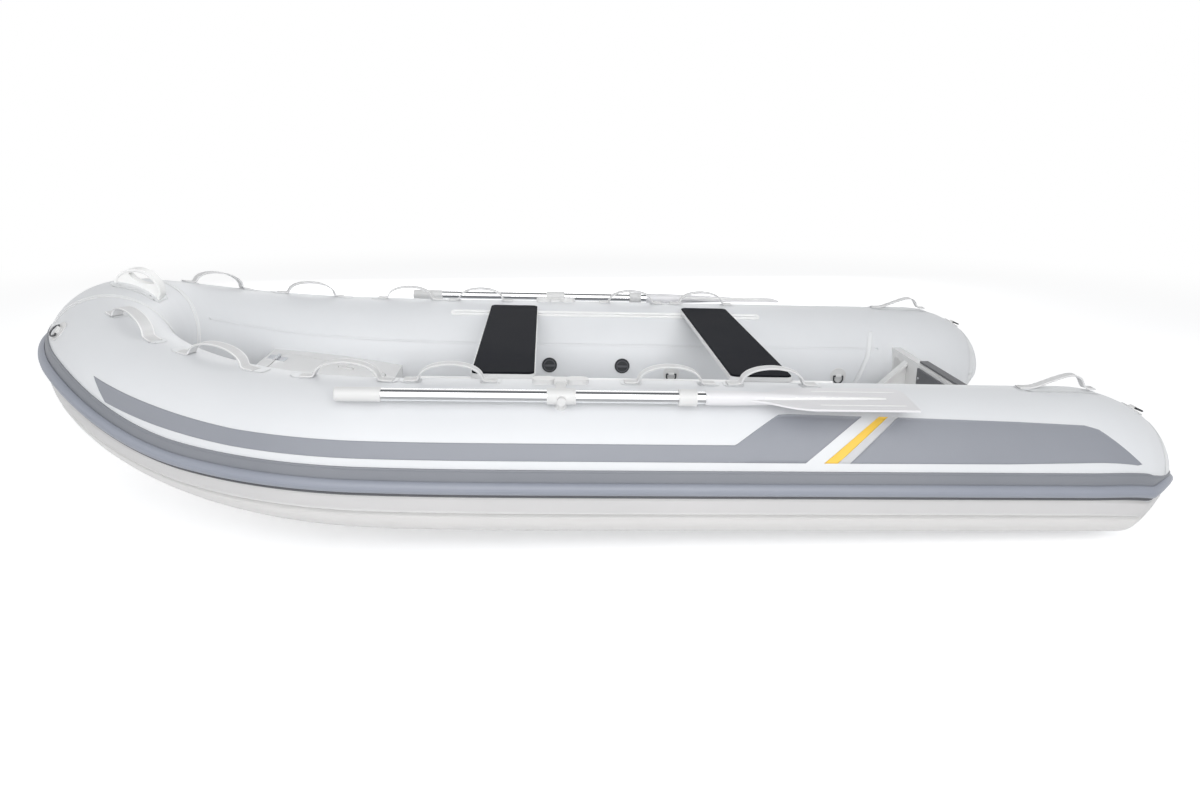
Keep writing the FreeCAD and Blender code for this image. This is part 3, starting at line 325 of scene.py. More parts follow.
def painted_reflection_group():
    """White or dark by how far a surface faces up: painted reflection bands, as a polished tube shows at
    fixed slopes.
    """
    group, start, end = new_group("painted_reflection_bands", {"Darkness": 1.0}, "Mask")
    parts = add_node(group, "SeparateXYZ", Vector=(add_node(group, "NewGeometry"), "Normal"))
    ramp = add_node(group, "ValToRGB", Fac=maths(group, "MULTIPLY_ADD", (parts, "Z"), 0.5, 0.5))
    stops = ramp.color_ramp.elements
    stops[0].color = (1, 1, 1, 1)
    for place, level in PAINTED_REFLECTION_BANDS:
        stops.new(place).color = (level, level, level, 1)
    dark = maths(group, "MULTIPLY", maths(group, "SUBTRACT", 1.0, (ramp, "Color")), (start, "Darkness"))
    feed(end, "Mask", maths(group, "SUBTRACT", 1.0, dark))
    return group


GROUPS = {
    "bands": painted_reflection_group(),
    "cloth": cloth_grain_group(),
    "drift": slow_drift_group(),
    "stipple": stipple_group(),
    "non_slip": non_slip_group(),
    "brushed": brushed_group(),
}
print("node groups", sorted(GROUPS))

# %% [markdown]
# A finish is one Principled shader. Its colour drifts between two close tones, its roughness drifts with
# the same mask, and a bump gives the fine relief. Constants sit on the shader's own sockets, so that an
# export keeps them.

# %% Tools for finishes
DRIFT_SCALE = 3.0
DRIFT_CONTRAST = 1.6
FABRIC = ("cloth", {"Threads_per_metre": 4200.0, "Unevenness": 0.5})
WEAVE = ("cloth", {"Threads_per_metre": 1900.0, "Unevenness": 0.8})
STIPPLE = ("stipple", {"Grains_per_metre": 900.0})


def place_group(tree, name, **inputs):
    node = add_node(tree, "Group")
    node.node_tree = GROUPS[name]
    return fill(node, inputs)


def tone_mix(tree, mask, low, high):
    mix = add_node(tree, "Mix")
    mix.data_type = "RGBA"
    return fill(mix, {"Factor": mask, "A": low, "B": high}), "Result"


def finish(name, low, high, rough, relief, depth, distance, **sockets):
    """A finish between two tones; relief is a placed group's name and values; rough is its least and most."""
    paint = bpy.data.materials.new(name)
    paint.use_nodes = True
    tree = paint.node_tree
    mask = (place_group(tree, "drift", Scale=DRIFT_SCALE, Contrast=DRIFT_CONTRAST), "Mask")
    spread = add_node(tree, "MapRange", Value=mask, To_Min=rough[0], To_Max=rough[1])
    group_name, values = relief
    height = (place_group(tree, group_name, **values), "Height")
    bump = add_node(tree, "Bump", Strength=depth, Distance=distance, Height=height)
    fill(tree.nodes["Principled BSDF"], {
        "Base Color": tone_mix(tree, mask, (*low, 1.0), (*high, 1.0)), "Roughness": (spread, "Result"),
        "Normal": (bump, "Normal"), **sockets})
    return paint


def fabric(name, low, high, rough, depth=0.15, **sockets):
    return finish(name, low, high, rough, FABRIC, depth, 0.0002, **sockets)


def moulded(name, low, high, rough, depth, distance=0.0003, **sockets):
    return finish(name, low, high, rough, STIPPLE, depth, distance, **sockets)


def add_painted_reflection(paint, dark, strength):
    """Lay the dark bands of a painted reflection, as on a polished tube, over a finish's colour."""
    tree = paint.node_tree
    shader = tree.nodes["Principled BSDF"]
    tones = (shader.inputs["Base Color"].links[0].from_node, "Result")
    bands = place_group(tree, "bands", Darkness=strength)
    feed(shader, "Base Color", tone_mix(tree, (bands, "Mask"), (*dark, 1.0), tones))


# %% Finishes of the boat
FINISHES = {
    "tube": fabric("coated_tube_fabric", (0.735, 0.75, 0.772), (0.775, 0.787, 0.805), (0.36, 0.46), 0.12,
                   Sheen_Weight=0.1, Specular_IOR_Level=0.45),
    "tape": fabric("seam_tape_fabric", (0.79, 0.805, 0.82), (0.82, 0.83, 0.84), (0.38, 0.5)),
    "stripe": fabric("grey_stripe_fabric", (0.262, 0.275, 0.31), (0.295, 0.308, 0.343), (0.40, 0.5)),
    "yellow": fabric("yellow_stripe_fabric", (0.86, 0.54, 0.06), (0.90, 0.59, 0.09), (0.4, 0.5)),
    "pale_stripe": fabric("pale_stripe_fabric", (0.56, 0.565, 0.585), (0.60, 0.605, 0.62), (0.4, 0.5)),
    "strake": moulded("strake_rubber", (0.215, 0.226, 0.252), (0.25, 0.26, 0.286), (0.42, 0.55), 0.15),
    # A darker copy of the strake rubber, painted shade on the band under the bumper.
    "strake_painted_shade": moulded("painted_shade_strake_rubber", (0.10, 0.105, 0.115), (0.13, 0.135, 0.145), (0.5, 0.6),
                          0.15),
    "bumper": moulded("bumper_rubber", (0.28, 0.30, 0.355), (0.32, 0.34, 0.395), (0.34, 0.45), 0.12),
    "gelcoat": moulded("gelcoat", (0.74, 0.74, 0.735), (0.78, 0.775, 0.77), (0.16, 0.24), 0.03,
                       Coat_Weight=0.4, Coat_Roughness=0.1),
    "hull": moulded("hull_gelcoat", (0.86, 0.853, 0.845), (0.89, 0.883, 0.875), (0.2, 0.28), 0.03,
                    Coat_Weight=0.3, Coat_Roughness=0.15),
    # A darker copy of the flap fabric, painted shade on the strip just under the strake.
    "flap_high": fabric("painted_shade_hull_flap_fabric", (0.66, 0.655, 0.655), (0.70, 0.69, 0.69), (0.42, 0.52)),
    "flap": fabric("hull_flap_fabric", (0.81, 0.80, 0.79), (0.85, 0.84, 0.83), (0.42, 0.52)),
    "deck": finish("non_slip_gelcoat", (0.62, 0.63, 0.64), (0.68, 0.685, 0.69), (0.5, 0.65),
                   ("non_slip", {"Pitch": 0.012, "Sharpness": 2.6}), 0.6, 0.0012),
    "pad": moulded("ribbed_pad_plastic", (0.085, 0.088, 0.098), (0.11, 0.113, 0.123), (0.45, 0.6), 0.4,
                   0.0006),
    "plate": moulded("blank_plate", (0.55, 0.55, 0.54), (0.6, 0.6, 0.59), (0.3, 0.4), 0.05),
    "white": moulded("white_moulded_plastic", (0.70, 0.70, 0.70), (0.74, 0.74, 0.735), (0.33, 0.45), 0.12),
    "thread": finish("sewing_thread", (0.70, 0.70, 0.69), (0.76, 0.76, 0.75), (0.6, 0.75),
                     ("cloth", {"Threads_per_metre": 6000.0, "Unevenness": 0.4}), 0.3, 0.0002),
    "webbing": finish("flat_webbing", (0.69, 0.69, 0.695), (0.74, 0.74, 0.74), (0.55, 0.7), WEAVE, 0.5,
                      0.0005, Sheen_Weight=0.25),
    "board": moulded("seat_board", (0.72, 0.72, 0.72), (0.77, 0.77, 0.77), (0.3, 0.42), 0.1),
    "cover": finish("black_seat_cover", (0.008, 0.009, 0.012), (0.012, 0.013, 0.017), (0.6, 0.72),
                    ("cloth", {"Threads_per_metre": 2600.0, "Unevenness": 1.2}), 0.25, 0.0004,
                    Specular_IOR_Level=0.02),
    "black": moulded("black_moulded_plastic", (0.028, 0.03, 0.034), (0.04, 0.042, 0.047), (0.35, 0.5), 0.2),
    # White for the webbing's edge cords and seat rails; on the bow tape's beads, a painted highlight.
    "edge": finish("bright_edge_and_painted_highlight", (0.88, 0.88, 0.88), (0.92, 0.92, 0.92), (0.5, 0.6), WEAVE, 0.3, 0.0003),
    "dark_steel": moulded("dark_steel", (0.10, 0.10, 0.11), (0.14, 0.14, 0.15), (0.2, 0.3), 0.05, 0.0002,
                          Metallic=1.0),
    "steel": finish("polished_steel", (0.60, 0.61, 0.63), (0.67, 0.68, 0.70), (0.12, 0.24),
                    ("brushed", {"Length": 40.0, "Fineness": 1500.0}), 0.05, 0.0002, Metallic=1.0),
    "aluminium": finish("anodised_tube", (0.90, 0.905, 0.915), (0.94, 0.945, 0.95), (0.2, 0.28),
                        ("brushed", {"Length": 3.0, "Fineness": 2500.0}), 0.02, 0.0001, Metallic=1.0),
    "blade": moulded("moulded_blade", (0.75, 0.745, 0.765), (0.79, 0.785, 0.80), (0.3, 0.4), 0.1),
    # On the blade ribs this lighter plastic is a painted highlight; on the bow handle it is the handle's own
    # white.
    "bright": moulded("bright_moulded_plastic", (0.84, 0.84, 0.835), (0.88, 0.88, 0.87), (0.3, 0.42), 0.1),
}
# The oar shafts get dark bands of painted reflection over their anodised colour.
add_painted_reflection(FINISHES["aluminium"], (0.045, 0.05, 0.06), 0.92)
print("finishes", len(FINISHES))

# %% [markdown]
# The CAD nodes whose shape is right stay in the picture. Each gets its finish through its material slots.
# The nodes that a piece stands for later on are dressed too, so that a picture of the nodes alone has all
# its finishes.

# %% Finishes on the CAD nodes
NODES_OF_FINISH = {
    "hull": "hull",
    "deck": "deck",
    "gelcoat": "transom transom_knees bow_locker locker_lid",
    "pad": "transom_outer_pad transom_inner_pad",
    "plate": "transom_blank_plate",
    "tube": "transom_patches port_tube starboard_tube bow_tube",
    "steel": "locker_hinges lid_hinge_leaves oarlock_pins",
    "dark_steel": "bow_rings",
    "white": "lid_pulls ring_patches oarlock_bases port_oar_grip port_oar_fittings starboard_oar_grip "
             "starboard_oar_fittings",
    "edge": "seat_rails",
    "board": "fore_seat aft_seat",
    "cover": "fore_seat_pad aft_seat_pad",
    "bright": "bow_handle",
    "black": "valves stern_rings inner_rings",
    "webbing": "stern_lifting_straps port_grab_straps starboard_grab_straps",
    "aluminium": "port_oar_shaft starboard_oar_shaft",
    "blade": "port_oar_blade starboard_oar_blade",
    "strake": "port_strake_band bow_strake_band starboard_strake_band",
    "bumper": "port_strake_bumper bow_strake_bumper starboard_strake_bumper",
}
NODE_FINISH = {name: paint for paint, names in NODES_OF_FINISH.items() for name in names.split()}


def dress(thing, paint):
    thing.data.materials.clear()
    thing.data.materials.append(FINISHES[paint])


for name, node in nodes.items():
    dress(node, NODE_FINISH[name])
print("dressed", len(nodes))

# %% [markdown]
# The ribs of an oar blade are brighter than its flat sides, because their rounded tops find the light. They
# could be drawn again as pieces of their own, but the CAD already has them: the faces that stand a little
# off the flat side get a lighter finish as a painted highlight.

# %% Blade ribs with a painted highlight
RIDGE_AFT_OF = -0.50
BLADE_HALF = 0.003
RIDGE_LOW = 0.0004
RIDGE_HIGH = 0.0055


def paint_rib_highlights(blade):
    """Give the faces that stand a little off the blade's flat sides the bright finish, as a painted
    highlight.
    """
    mesh = blade.data
    mesh.materials.append(FINISHES["bright"])
    flat = max((p for p in mesh.polygons if p.center.x < RIDGE_AFT_OF), key=lambda p: p.area)
    middle = flat.normal.dot(flat.center) - BLADE_HALF
    count = 0
    for polygon in mesh.polygons:
        rise = abs(flat.normal.dot(polygon.center) - middle) - BLADE_HALF
        if polygon.center.x < RIDGE_AFT_OF and RIDGE_LOW < rise < RIDGE_HIGH:
            polygon.material_index = 1
            count += 1
    return count


for side in ("port", "starboard"):
    print(side, "ridge faces", paint_rib_highlights(nodes[side + "_oar_blade"]))

# %% [markdown]
# The collar is three air-filled lengths of fabric. Its form is known: a circle whose centre runs straight
# along the side, then round the bow in an oval that also climbs. A modelled surface could be sculpted, but
# drawing it from the same circle lets every tape, stripe and patch be laid on it at a station along the
# tube and an angle round it. A station is metres along the port side; past the stem it runs back down the
# starboard side.

# %% The collar's shape
TUBE_Y = 0.678
TUBE_Z = 0.285
TUBE_R = 0.225
TUBE_R_BOW = 0.197
TUBE_R_STERN = 0.222
SHEER_SLOPE = 0.0268
BOW_START = 0.607
BOW_X = 1.595
BOW_RISE = 0.190
BOW_RISE_START = 0.059
BOW_RISE_POWER = 3.84
STERN_X = -1.785
CONE_LENGTH = 0.335
CONE_LOWER_LENGTH = 0.145
CONE_LOWER_RISE = 0.140
CONE_TOP_POWER = 0.55
CONE_LOWER_POWER = 1.15
BOW_QUARTER = 1.32
BOW_AHEAD_POWER = 1.054
BOW_ACROSS_POWER = 1.027
BOW_STEP = 0.05
NEARLY_AHEAD = 89.99
STEM = BOW_START + BOW_QUARTER


def tube_centre_z(x):
    rise = max(0.0, (x - BOW_RISE_START) / (BOW_X - BOW_RISE_START))
    return TUBE_Z + SHEER_SLOPE * x + BOW_RISE * rise ** BOW_RISE_POWER


def tube_radius(x):
    if x < 0:
        return TUBE_R - (TUBE_R - TUBE_R_STERN) * x / STERN_X
    share = max(0.0, (x - BOW_RISE_START) / (BOW_X - BOW_RISE_START))
    return TUBE_R - (TUBE_R - TUBE_R_BOW) * share ** 2


def straight_cut(x):
    """Centre, outward way and radius of the port tube at x."""
    radius = tube_radius(x)
    top = bottom = radius
    if x < STERN_X + CONE_LENGTH:
        share = min(1.0, (STERN_X + CONE_LENGTH - x) / CONE_LENGTH)
        top = radius * (1.0 - share ** 2) ** CONE_TOP_POWER
    if x < STERN_X + CONE_LOWER_LENGTH:
        share = (STERN_X + CONE_LOWER_LENGTH - x) / CONE_LOWER_LENGTH
        bottom = radius - CONE_LOWER_RISE * share ** CONE_LOWER_POWER
    centre = Vector((x, TUBE_Y, tube_centre_z(x) + (top - bottom) / 2))
    return centre, Vector((0, 1, 0)), (top + bottom) / 2


def bow_centre(degrees):
    a = math.radians(degrees)
    x = BOW_START + (BOW_X - BOW_START) * math.sin(a) ** BOW_AHEAD_POWER
    return Vector((x, TUBE_Y * max(0.0, math.cos(a)) ** BOW_ACROSS_POWER, tube_centre_z(x)))


def bow_cut(degrees):
    """The same in the bow, by degrees from its start; the way out is square to the centre line."""
    centre = bow_centre(degrees)
    out = Vector((1, 0, 0))
    if degrees < NEARLY_AHEAD:
        ahead = bow_centre(min(90.0, degrees + BOW_STEP)) - bow_centre(max(0.0, degrees - BOW_STEP))
        out = Vector((-ahead.y, ahead.x, 0)).normalized()
    return centre, out, tube_radius(centre.x)


def cut_at(station):
    if station > STEM:
        centre, out, radius = cut_at(2 * STEM - station)
        return Vector((centre.x, -centre.y, centre.z)), Vector((out.x, -out.y, 0)), radius
    if station <= BOW_START:
        return straight_cut(station)
    return bow_cut((station - BOW_START) / BOW_QUARTER * 90.0)


def bow_station(degrees):
    return BOW_START + BOW_QUARTER * degrees / 90.0


def bow_station_at(x):
    share = (x - BOW_START) / (BOW_X - BOW_START)
    return bow_station(math.degrees(math.asin(share ** (1.0 / BOW_AHEAD_POWER))))


def port_station(station):
    """The station on the port side that mirrors one on the starboard side."""
    return min(station, 2 * STEM - station)


def skin(station, angle, lift=0.0):
    """A point of the collar: angle 0 outboard, 90 on the crown, 180 inboard."""
    centre, out, radius = cut_at(station)
    a = math.radians(angle)
    return centre + (out * math.cos(a) + UP * math.sin(a)) * (radius + lift)


print("collar from", round(STERN_X, 3), "to", round(skin(STEM, 0).x, 3))

# %% [markdown]
# Meshes are made from grids of points. A sheet glued on the collar is a grid of stations and angles, given
# a thickness by a second grid under it and a rim between the two, so it has a real edge that catches light.

# %% Mesh tools

def make_piece(name, points, faces, paint, slot, body="boat"):
    mesh = bpy.data.meshes.new(name)
    mesh.from_pydata([tuple(p) for p in points], [], faces)
    mesh.validate()
    mesh.update()
    for polygon in mesh.polygons:
        polygon.use_smooth = True
    piece = add_object(name, mesh)
    dress(piece, paint)
    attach(piece, body)
    return piece


def grid_faces(rows, columns, start=0, closed=False, flip=False):
    faces = []
    for i in range(rows - 1):
        for j in range(columns if closed else columns - 1):
            k = (j + 1) % columns
            face = (start + i * columns + j, start + i * columns + k, start + (i + 1) * columns + k,
                    start + (i + 1) * columns + j)
            faces.append(face[::-1] if flip else face)
    return faces


def capped_faces(rows, columns, flip=False):
    """Faces of a closed section that is carried along, with both ends shut."""
    faces = grid_faces(rows, columns, closed=True, flip=flip)
    for cap in (tuple(range(columns))[::-1], tuple((rows - 1) * columns + j for j in range(columns))):
        faces.append(cap[::-1] if flip else cap)
    return faces


def slab(top, bottom):
    """Points and faces of a closed sheet between two grids of points of the same size."""
    rows = len(top)
    columns = len(top[0])
    points = [p for row in top for p in row] + [p for row in bottom for p in row]
    half = rows * columns
    faces = grid_faces(rows, columns) + grid_faces(rows, columns, half, flip=True)
    rim = [(i, 0) for i in range(rows)] + [(rows - 1, j) for j in range(1, columns)]
    rim += [(i, columns - 1) for i in range(rows - 2, -1, -1)] + [(0, j) for j in range(columns - 2, 0, -1)]
    for n, (i, j) in enumerate(rim):
        u, v = rim[(n + 1) % len(rim)]
        a = i * columns + j
        b = u * columns + v
        faces.append((a, half + a, half + b, b))
    return points, faces


def mirrored(points, faces):
    return [Vector((p.x, -p.y, p.z)) for p in points], [face[::-1] for face in faces]


def both_sides(name, points, faces, paint, slot):
    """A piece on the port side and its mirror image."""
    port = make_piece("port_" + name, points, faces, paint, slot)
    return port, make_piece("starboard_" + name, *mirrored(points, faces), paint, slot)


def stand_for(pieces, ending):
    """Hide the CAD node of each piece's side, which the piece is drawn in place of."""
    for side, piece in zip(("port", "starboard", "bow"), pieces):
        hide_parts(side + ending)


def sheet_on_skin(place, rows, columns, lift, thickness):
    """Points and faces of a sheet on the collar; place gives (station, angle) for shares along and across."""
    top = []
    bottom = []
    for i in range(rows):
        spots = [place(i / (rows - 1), j / (columns - 1)) for j in range(columns)]
        top.append([skin(s, a, lift + thickness) for s, a in spots])
        bottom.append([skin(s, a, lift) for s, a in spots])
    return slab(top, bottom)


print("mesh tools ready")

# %% [markdown]
# Air pulls the fabric tight, yet it isn't a perfect pipe: on the inside of the bow's curve the cloth
# gathers into faint cross ripples, and each seam draws it in by a hair. Cloth simulation of a tube at
# pressure would mostly give the same circle back, so the ripples are put in as a slow wave on the inner
# side.

# %% Collar skins
SKIN_COLUMNS = 128
RING_STEP = 0.014
SEAM_DEGREES = 73.0
CONE_RINGS = 48
CAP_RINGS = ((0.93, 0.0035), (0.75, 0.006), (0.4, 0.0075))
CAP_TIP = 0.008
RIPPLE_DEPTH = 0.00055
RIPPLE_STATION = bow_station(58.0)
RIPPLE_REACH = 0.35
RIPPLE_RATE = 78.0
FINE_RIPPLE_RATE = 131.0
FINE_RIPPLE_SHARE = 0.6
SLOW_WAVE_DEPTH = 0.0006


def ripple(station, angle):
    """How far the fabric lies off the true circle."""
    a = math.radians(angle)
    inner = max(0.0, -math.cos(a))
    bend = math.exp(-((port_station(station) - RIPPLE_STATION) / RIPPLE_REACH) ** 2)
    wave = math.sin(station * RIPPLE_RATE) + FINE_RIPPLE_SHARE * math.sin(station * FINE_RIPPLE_RATE + 1.3)
    broad = noise.noise(Vector((station * 2.1, math.sin(a) * 1.4, math.cos(a))))
    return RIPPLE_DEPTH * inner ** 2 * bend * wave + SLOW_WAVE_DEPTH * broad


def ring_of_skin(station):
    angles = [360.0 * j / SKIN_COLUMNS for j in range(SKIN_COLUMNS)]
    return [skin(station, angle, ripple(station, angle)) for angle in angles]


def stations_between(start, end):
    count = max(2, int(round(abs(end - start) / RING_STEP)))
    return [start + (end - start) * i / count for i in range(count + 1)]


def collar_skin(stations, capped_start):
    """Points and faces of a length of the collar; a capped one starts in a shallow dome."""
    rings = [ring_of_skin(s) for s in stations]
    points = [p for ring in rings for p in ring]
    faces = grid_faces(len(rings), SKIN_COLUMNS, closed=True, flip=True)
    if not capped_start:
        return points, faces
    centre = sum(rings[0], Vector()) / SKIN_COLUMNS
    previous = 0
    for share, bulge in CAP_RINGS:
        ring = len(points)
        points += [centre + (p - centre) * share + Vector((-bulge, 0, 0)) for p in rings[0]]
        for j in range(SKIN_COLUMNS):
            n = (j + 1) % SKIN_COLUMNS
            faces.append((previous + j, previous + n, ring + n, ring + j))
        previous = ring
    tip = len(points)
    points.append(centre + Vector((-CAP_TIP, 0, 0)))
    faces += [(previous + j, previous + (j + 1) % SKIN_COLUMNS, tip) for j in range(SKIN_COLUMNS)]
    return points, faces


cone_stations = [STERN_X + CONE_LENGTH * (1 - math.cos(math.radians(90 * i / CONE_RINGS)))
                 for i in range(CONE_RINGS)]
side_stations = cone_stations + stations_between(STERN_X + CONE_LENGTH, bow_station(SEAM_DEGREES))
bow_stations = stations_between(bow_station(SEAM_DEGREES), 2 * STEM - bow_station(SEAM_DEGREES))
pieces = [*both_sides("tube_skin", *collar_skin(side_stations, True), "tube", "tube_fabric"),
          make_piece("bow_tube_skin", *collar_skin(bow_stations, False), "tube", "tube_fabric")]
stand_for(pieces, "_tube")
print("collar skins", len(pieces), "with", len(pieces[0].data.vertices), "points a side")

# %% [markdown]
# The rubbing strake is a flat band of dark rubber glued round the collar, with a hollow bumper on it. Both
# are extrusions, so each is one profile carried along the stations. The profile is drawn in millimetres
# round the tube and off it, with small rounded edges and the grooves that stop the band from curling.

# %% Strake
STRAKE_ANGLE = -3.5
STRAKE_END_RISE = 3.0
STRAKE_END_POWER = 1.6
CREASE_DEGREES = 35.0
BAND_END = (0.50, 0.82, 0.66)
BUMPER_END = (0.60, 1.0, 0.55)
STRAKE_CLIMB = 15.0
CLIMB_START = bow_station(28.0)
CLIMB_END = bow_station(62.0)
BAND_PROFILE = ((-38, 0.3), (-37.6, 4.0), (-36.6, 5.0), (-33, 5.3), (-31.6, 4.2), (-30.2, 5.3), (-24, 5.3),
                (24, 5.3), (37.2, 5.3), (38.6, 4.2), (40, 5.3), (43.6, 5.0), (44.6, 4.0), (45, 0.3))
# Sides of the band below the bumper, which get the darker rubber as painted shade.
BAND_SHADED_SIDES = (0, 1, 2, 3, 4, 5, 13)
BUMPER_PROFILE = ((-18, 5.4), (-17.6, 8.5), (-15.5, 13.5), (-12.2, 17.8), (-8, 20.8), (-4, 22.2),
                  (-0.9, 22.5), (0, 21.7), (0.9, 22.5), (4, 22.2), (8, 20.8), (12.2, 17.8), (15.5, 13.5),
                  (17.6, 8.5), (18, 5.4))
BUMPER_OFFSET = -2.1


def smooth_step(low, high, value):
    share = min(1.0, max(0.0, (value - low) / (high - low)))
    return share * share * (3 - 2 * share)


def end_share(station):
    return max(0.0, (STERN_X + CONE_LENGTH - port_station(station)) / CONE_LENGTH)


def strake_climb(station):
    """How far round the tube the strake climbs on its way to the stem."""
    return STRAKE_CLIMB * smooth_step(CLIMB_START, CLIMB_END, port_station(station))


def profile_ring(station, profile, offset, end):
    """The profile at a station; end says where it narrows on the stern cone and by how much."""
    share = end_share(station)
    start, stop, loss = end
    size = 1.0 - loss * smooth_step(start, stop, share)
    turn = STRAKE_END_RISE * math.sin(math.pi * share ** STRAKE_END_POWER)
    middle = STRAKE_ANGLE + offset * size + turn + strake_climb(station)
    radius = cut_at(station)[2]
    return [skin(station, middle + math.degrees(across / 1000.0 * size / radius), off / 1000.0)
            for across, off in profile]


def swept(stations, profile, offset, end):
    points = [p for s in stations for p in profile_ring(s, profile, offset, end)]
    return points, capped_faces(len(stations), len(profile))


def second_finish(piece, paint, columns, sides):
    """Give some sides of a swept profile another finish."""
    piece.data.materials.append(FINISHES[paint])
    for polygon in piece.data.polygons:
        if len(polygon.vertices) == 4 and polygon.index % columns in sides:
            polygon.material_index = 1


for label, node, profile, offset, end, paint, slot in (
        ("strake_flange", "_strake_band", BAND_PROFILE, 0.0, BAND_END, "strake", "strake_rubber"),
        ("strake_moulding", "_strake_bumper", BUMPER_PROFILE, BUMPER_OFFSET, BUMPER_END, "bumper",
         "bumper_rubber")):
    pieces = [*both_sides(label, *swept(side_stations, profile, offset, end), paint, slot),
              make_piece("bow_" + label, *swept(bow_stations, profile, offset, end), paint, slot)]
    stand_for(pieces, node)
    for piece in pieces:
        piece.data.set_sharp_from_angle(angle=math.radians(CREASE_DEGREES))
        # The band's faces below the bumper are darkened as painted shade.
        if profile is BAND_PROFILE:
            second_finish(piece, "strake_painted_shade", len(profile), BAND_SHADED_SIDES)
print("strake profiles", len(BAND_PROFILE), len(BUMPER_PROFILE))

# %% [markdown]
# The grey, yellow and pale stripes are thin fabric glued on the collar. Each is drawn by two edges, a lower
# and an upper one, as stations and angles at a few corners with straight runs between them. A picture
# wrapped round the tube could show them too, but sheets keep their sharp edges at any distance.

# %% Stripes
STRIPE_LIFT = 0.0004
STRIPE_THICKNESS = 0.0005
LONG_STRIPE_LOW = (
    (0.0, bow_station(44.0), 18.0), (0.10, bow_station(33.0), 16.0), (0.22, bow_station(20.0), 14.3),
    (0.40, 0.60, 14.0), (0.72, -0.405, 14.0), (0.78, -0.47, 14.0), (0.80, -0.50, 14.0), (1.0, -0.612, 14.0))
LONG_STRIPE_HIGH = (
    (0.0, bow_station(48.5), 32.5), (0.10, bow_station(34.0), 30.0), (0.22, bow_station(20.0), 27.0),
    (0.40, 0.60, 26.5), (0.72, -0.415, 26.5), (0.78, -0.545, 50.5), (0.80, -0.575, 51.2), (1.0, -0.786, 49.6))
YELLOW_LOW = ((0.0, -0.664, 14.0), (1.0, -0.703, 14.0))
YELLOW_HIGH = ((0.0, -0.836, 49.7), (1.0, -0.863, 49.6))
PALE_LOW = ((0.0, -0.703, 14.0), (1.0, -0.738, 14.0))
PALE_HIGH = ((0.0, -0.863, 49.6), (1.0, -0.891, 49.4))
AFT_PANEL_LOW = ((0.0, -0.738, 14.0), (0.5, -1.20, 14.3), (1.0, -1.585, 16.5))
AFT_PANEL_HIGH = ((0.0, -0.891, 49.2), (0.5, -1.243, 46.5), (0.72, -1.435, 44.2), (0.80, -1.475, 41.0),
                  (0.88, -1.507, 35.0), (1.0, -1.600, 18.0))


def along(edge, share):
    for (a, s0, v0), (b, s1, v1) in zip(edge, edge[1:]):
        if share <= b:
            t = (share - a) / (b - a)
            return s0 + (s1 - s0) * t, v0 + (v1 - v0) * t
    return edge[-1][1:]


def between(low, high):
    def place(share, across):
        s0, a0 = along(low, share)
        s1, a1 = along(high, share)
        return s0 + (s1 - s0) * across, a0 + (a1 - a0) * across
    return place


for label, low, high, paint, rows, columns in (
        ("long_stripe", LONG_STRIPE_LOW, LONG_STRIPE_HIGH, "stripe", 261, 13),
        ("yellow_stripe", YELLOW_LOW, YELLOW_HIGH, "yellow", 7, 21),
        ("pale_stripe", PALE_LOW, PALE_HIGH, "pale_stripe", 7, 21),
        ("aft_panel", AFT_PANEL_LOW, AFT_PANEL_HIGH, "stripe", 101, 21)):
    points, faces = sheet_on_skin(between(low, high), rows, columns, STRIPE_LIFT, STRIPE_THICKNESS)
    both_sides(label, points, faces, paint, "tube_fabric")
print("stripes laid")

# %% [markdown]
# Where two lengths of fabric meet, a tape covers the joint: one round each side of the bow, one along the
# inside of each tube, one round each stern cone and one at each corner of the transom. Under the strake a
# flap ties the hull to the tube; a darker strip along its top is painted shade. All are sheets laid on the
# skin like the stripes; the two beads are the rounded edges of the bow's tapes, brighter as a painted
# highlight.

# %% Seam tapes
TAPE_WIDTH = 0.026
CORNER_TAPE_WIDTH = 0.020
TAPE_THICKNESS = 0.0007
BOW_TAPE = ((0.0, bow_station(76.0), -2.0), (0.30, bow_station(74.5), 60.0), (0.50, bow_station(73.0), 100.0),
            (0.75, bow_station(71.5), 140.0), (1.0, bow_station(76.0), 215.0))
INSIDE_TAPE = (-1.28, bow_station(66.0), 158.0)
INSIDE_THICKNESS = 0.0003
INSIDE_WIDTH = 0.009
BEAD_WIDTH = 0.0028
BEAD_HEIGHT = 0.0014
CONE_TAPE = ((0.0, STERN_X + 0.062, -170.0), (1.0, STERN_X + 0.062, 190.0))
CORNER_TAPE = ((0.0, -1.255, 138.0), (0.5, -1.235, 165.0), (1.0, -1.175, 205.0))
FLAP_AFT = STERN_X + 0.02
FLAP_TOP_ANGLE = -12.5
FLAP_HIGH_ANGLE = -29.0
FLAP_LOW_ANGLE = -74.0
FLAP_THICKNESS = 0.0006
FLAP_CLIMB = 0.8
FLAP_LINE = (FLAP_AFT, bow_station(24.0), FLAP_HIGH_ANGLE - 6.0)


def moved(edge, distance):
    return tuple((share, station + distance, angle) for share, station, angle in edge)


def tape_round(edge, width):
    """A tape that goes round the tube along an edge of (share, station, angle)."""
    return between(moved(edge, -width / 2), moved(edge, width / 2))


def tape_along(start, end, angle, width):
    def place(share, across):
        station = start + (end - start) * share
        return station, angle + (across - 0.5) * math.degrees(width / cut_at(station)[2])
    return place


def hull_flap(top, low):
    """The fabric that ties the hull to the underside of the tube, between two angles under the strake."""
    def place(share, across):
        station = FLAP_AFT + (STEM - FLAP_AFT) * share
        high = top + FLAP_CLIMB * strake_climb(station)
        return station, high + (low - high) * across
    return place


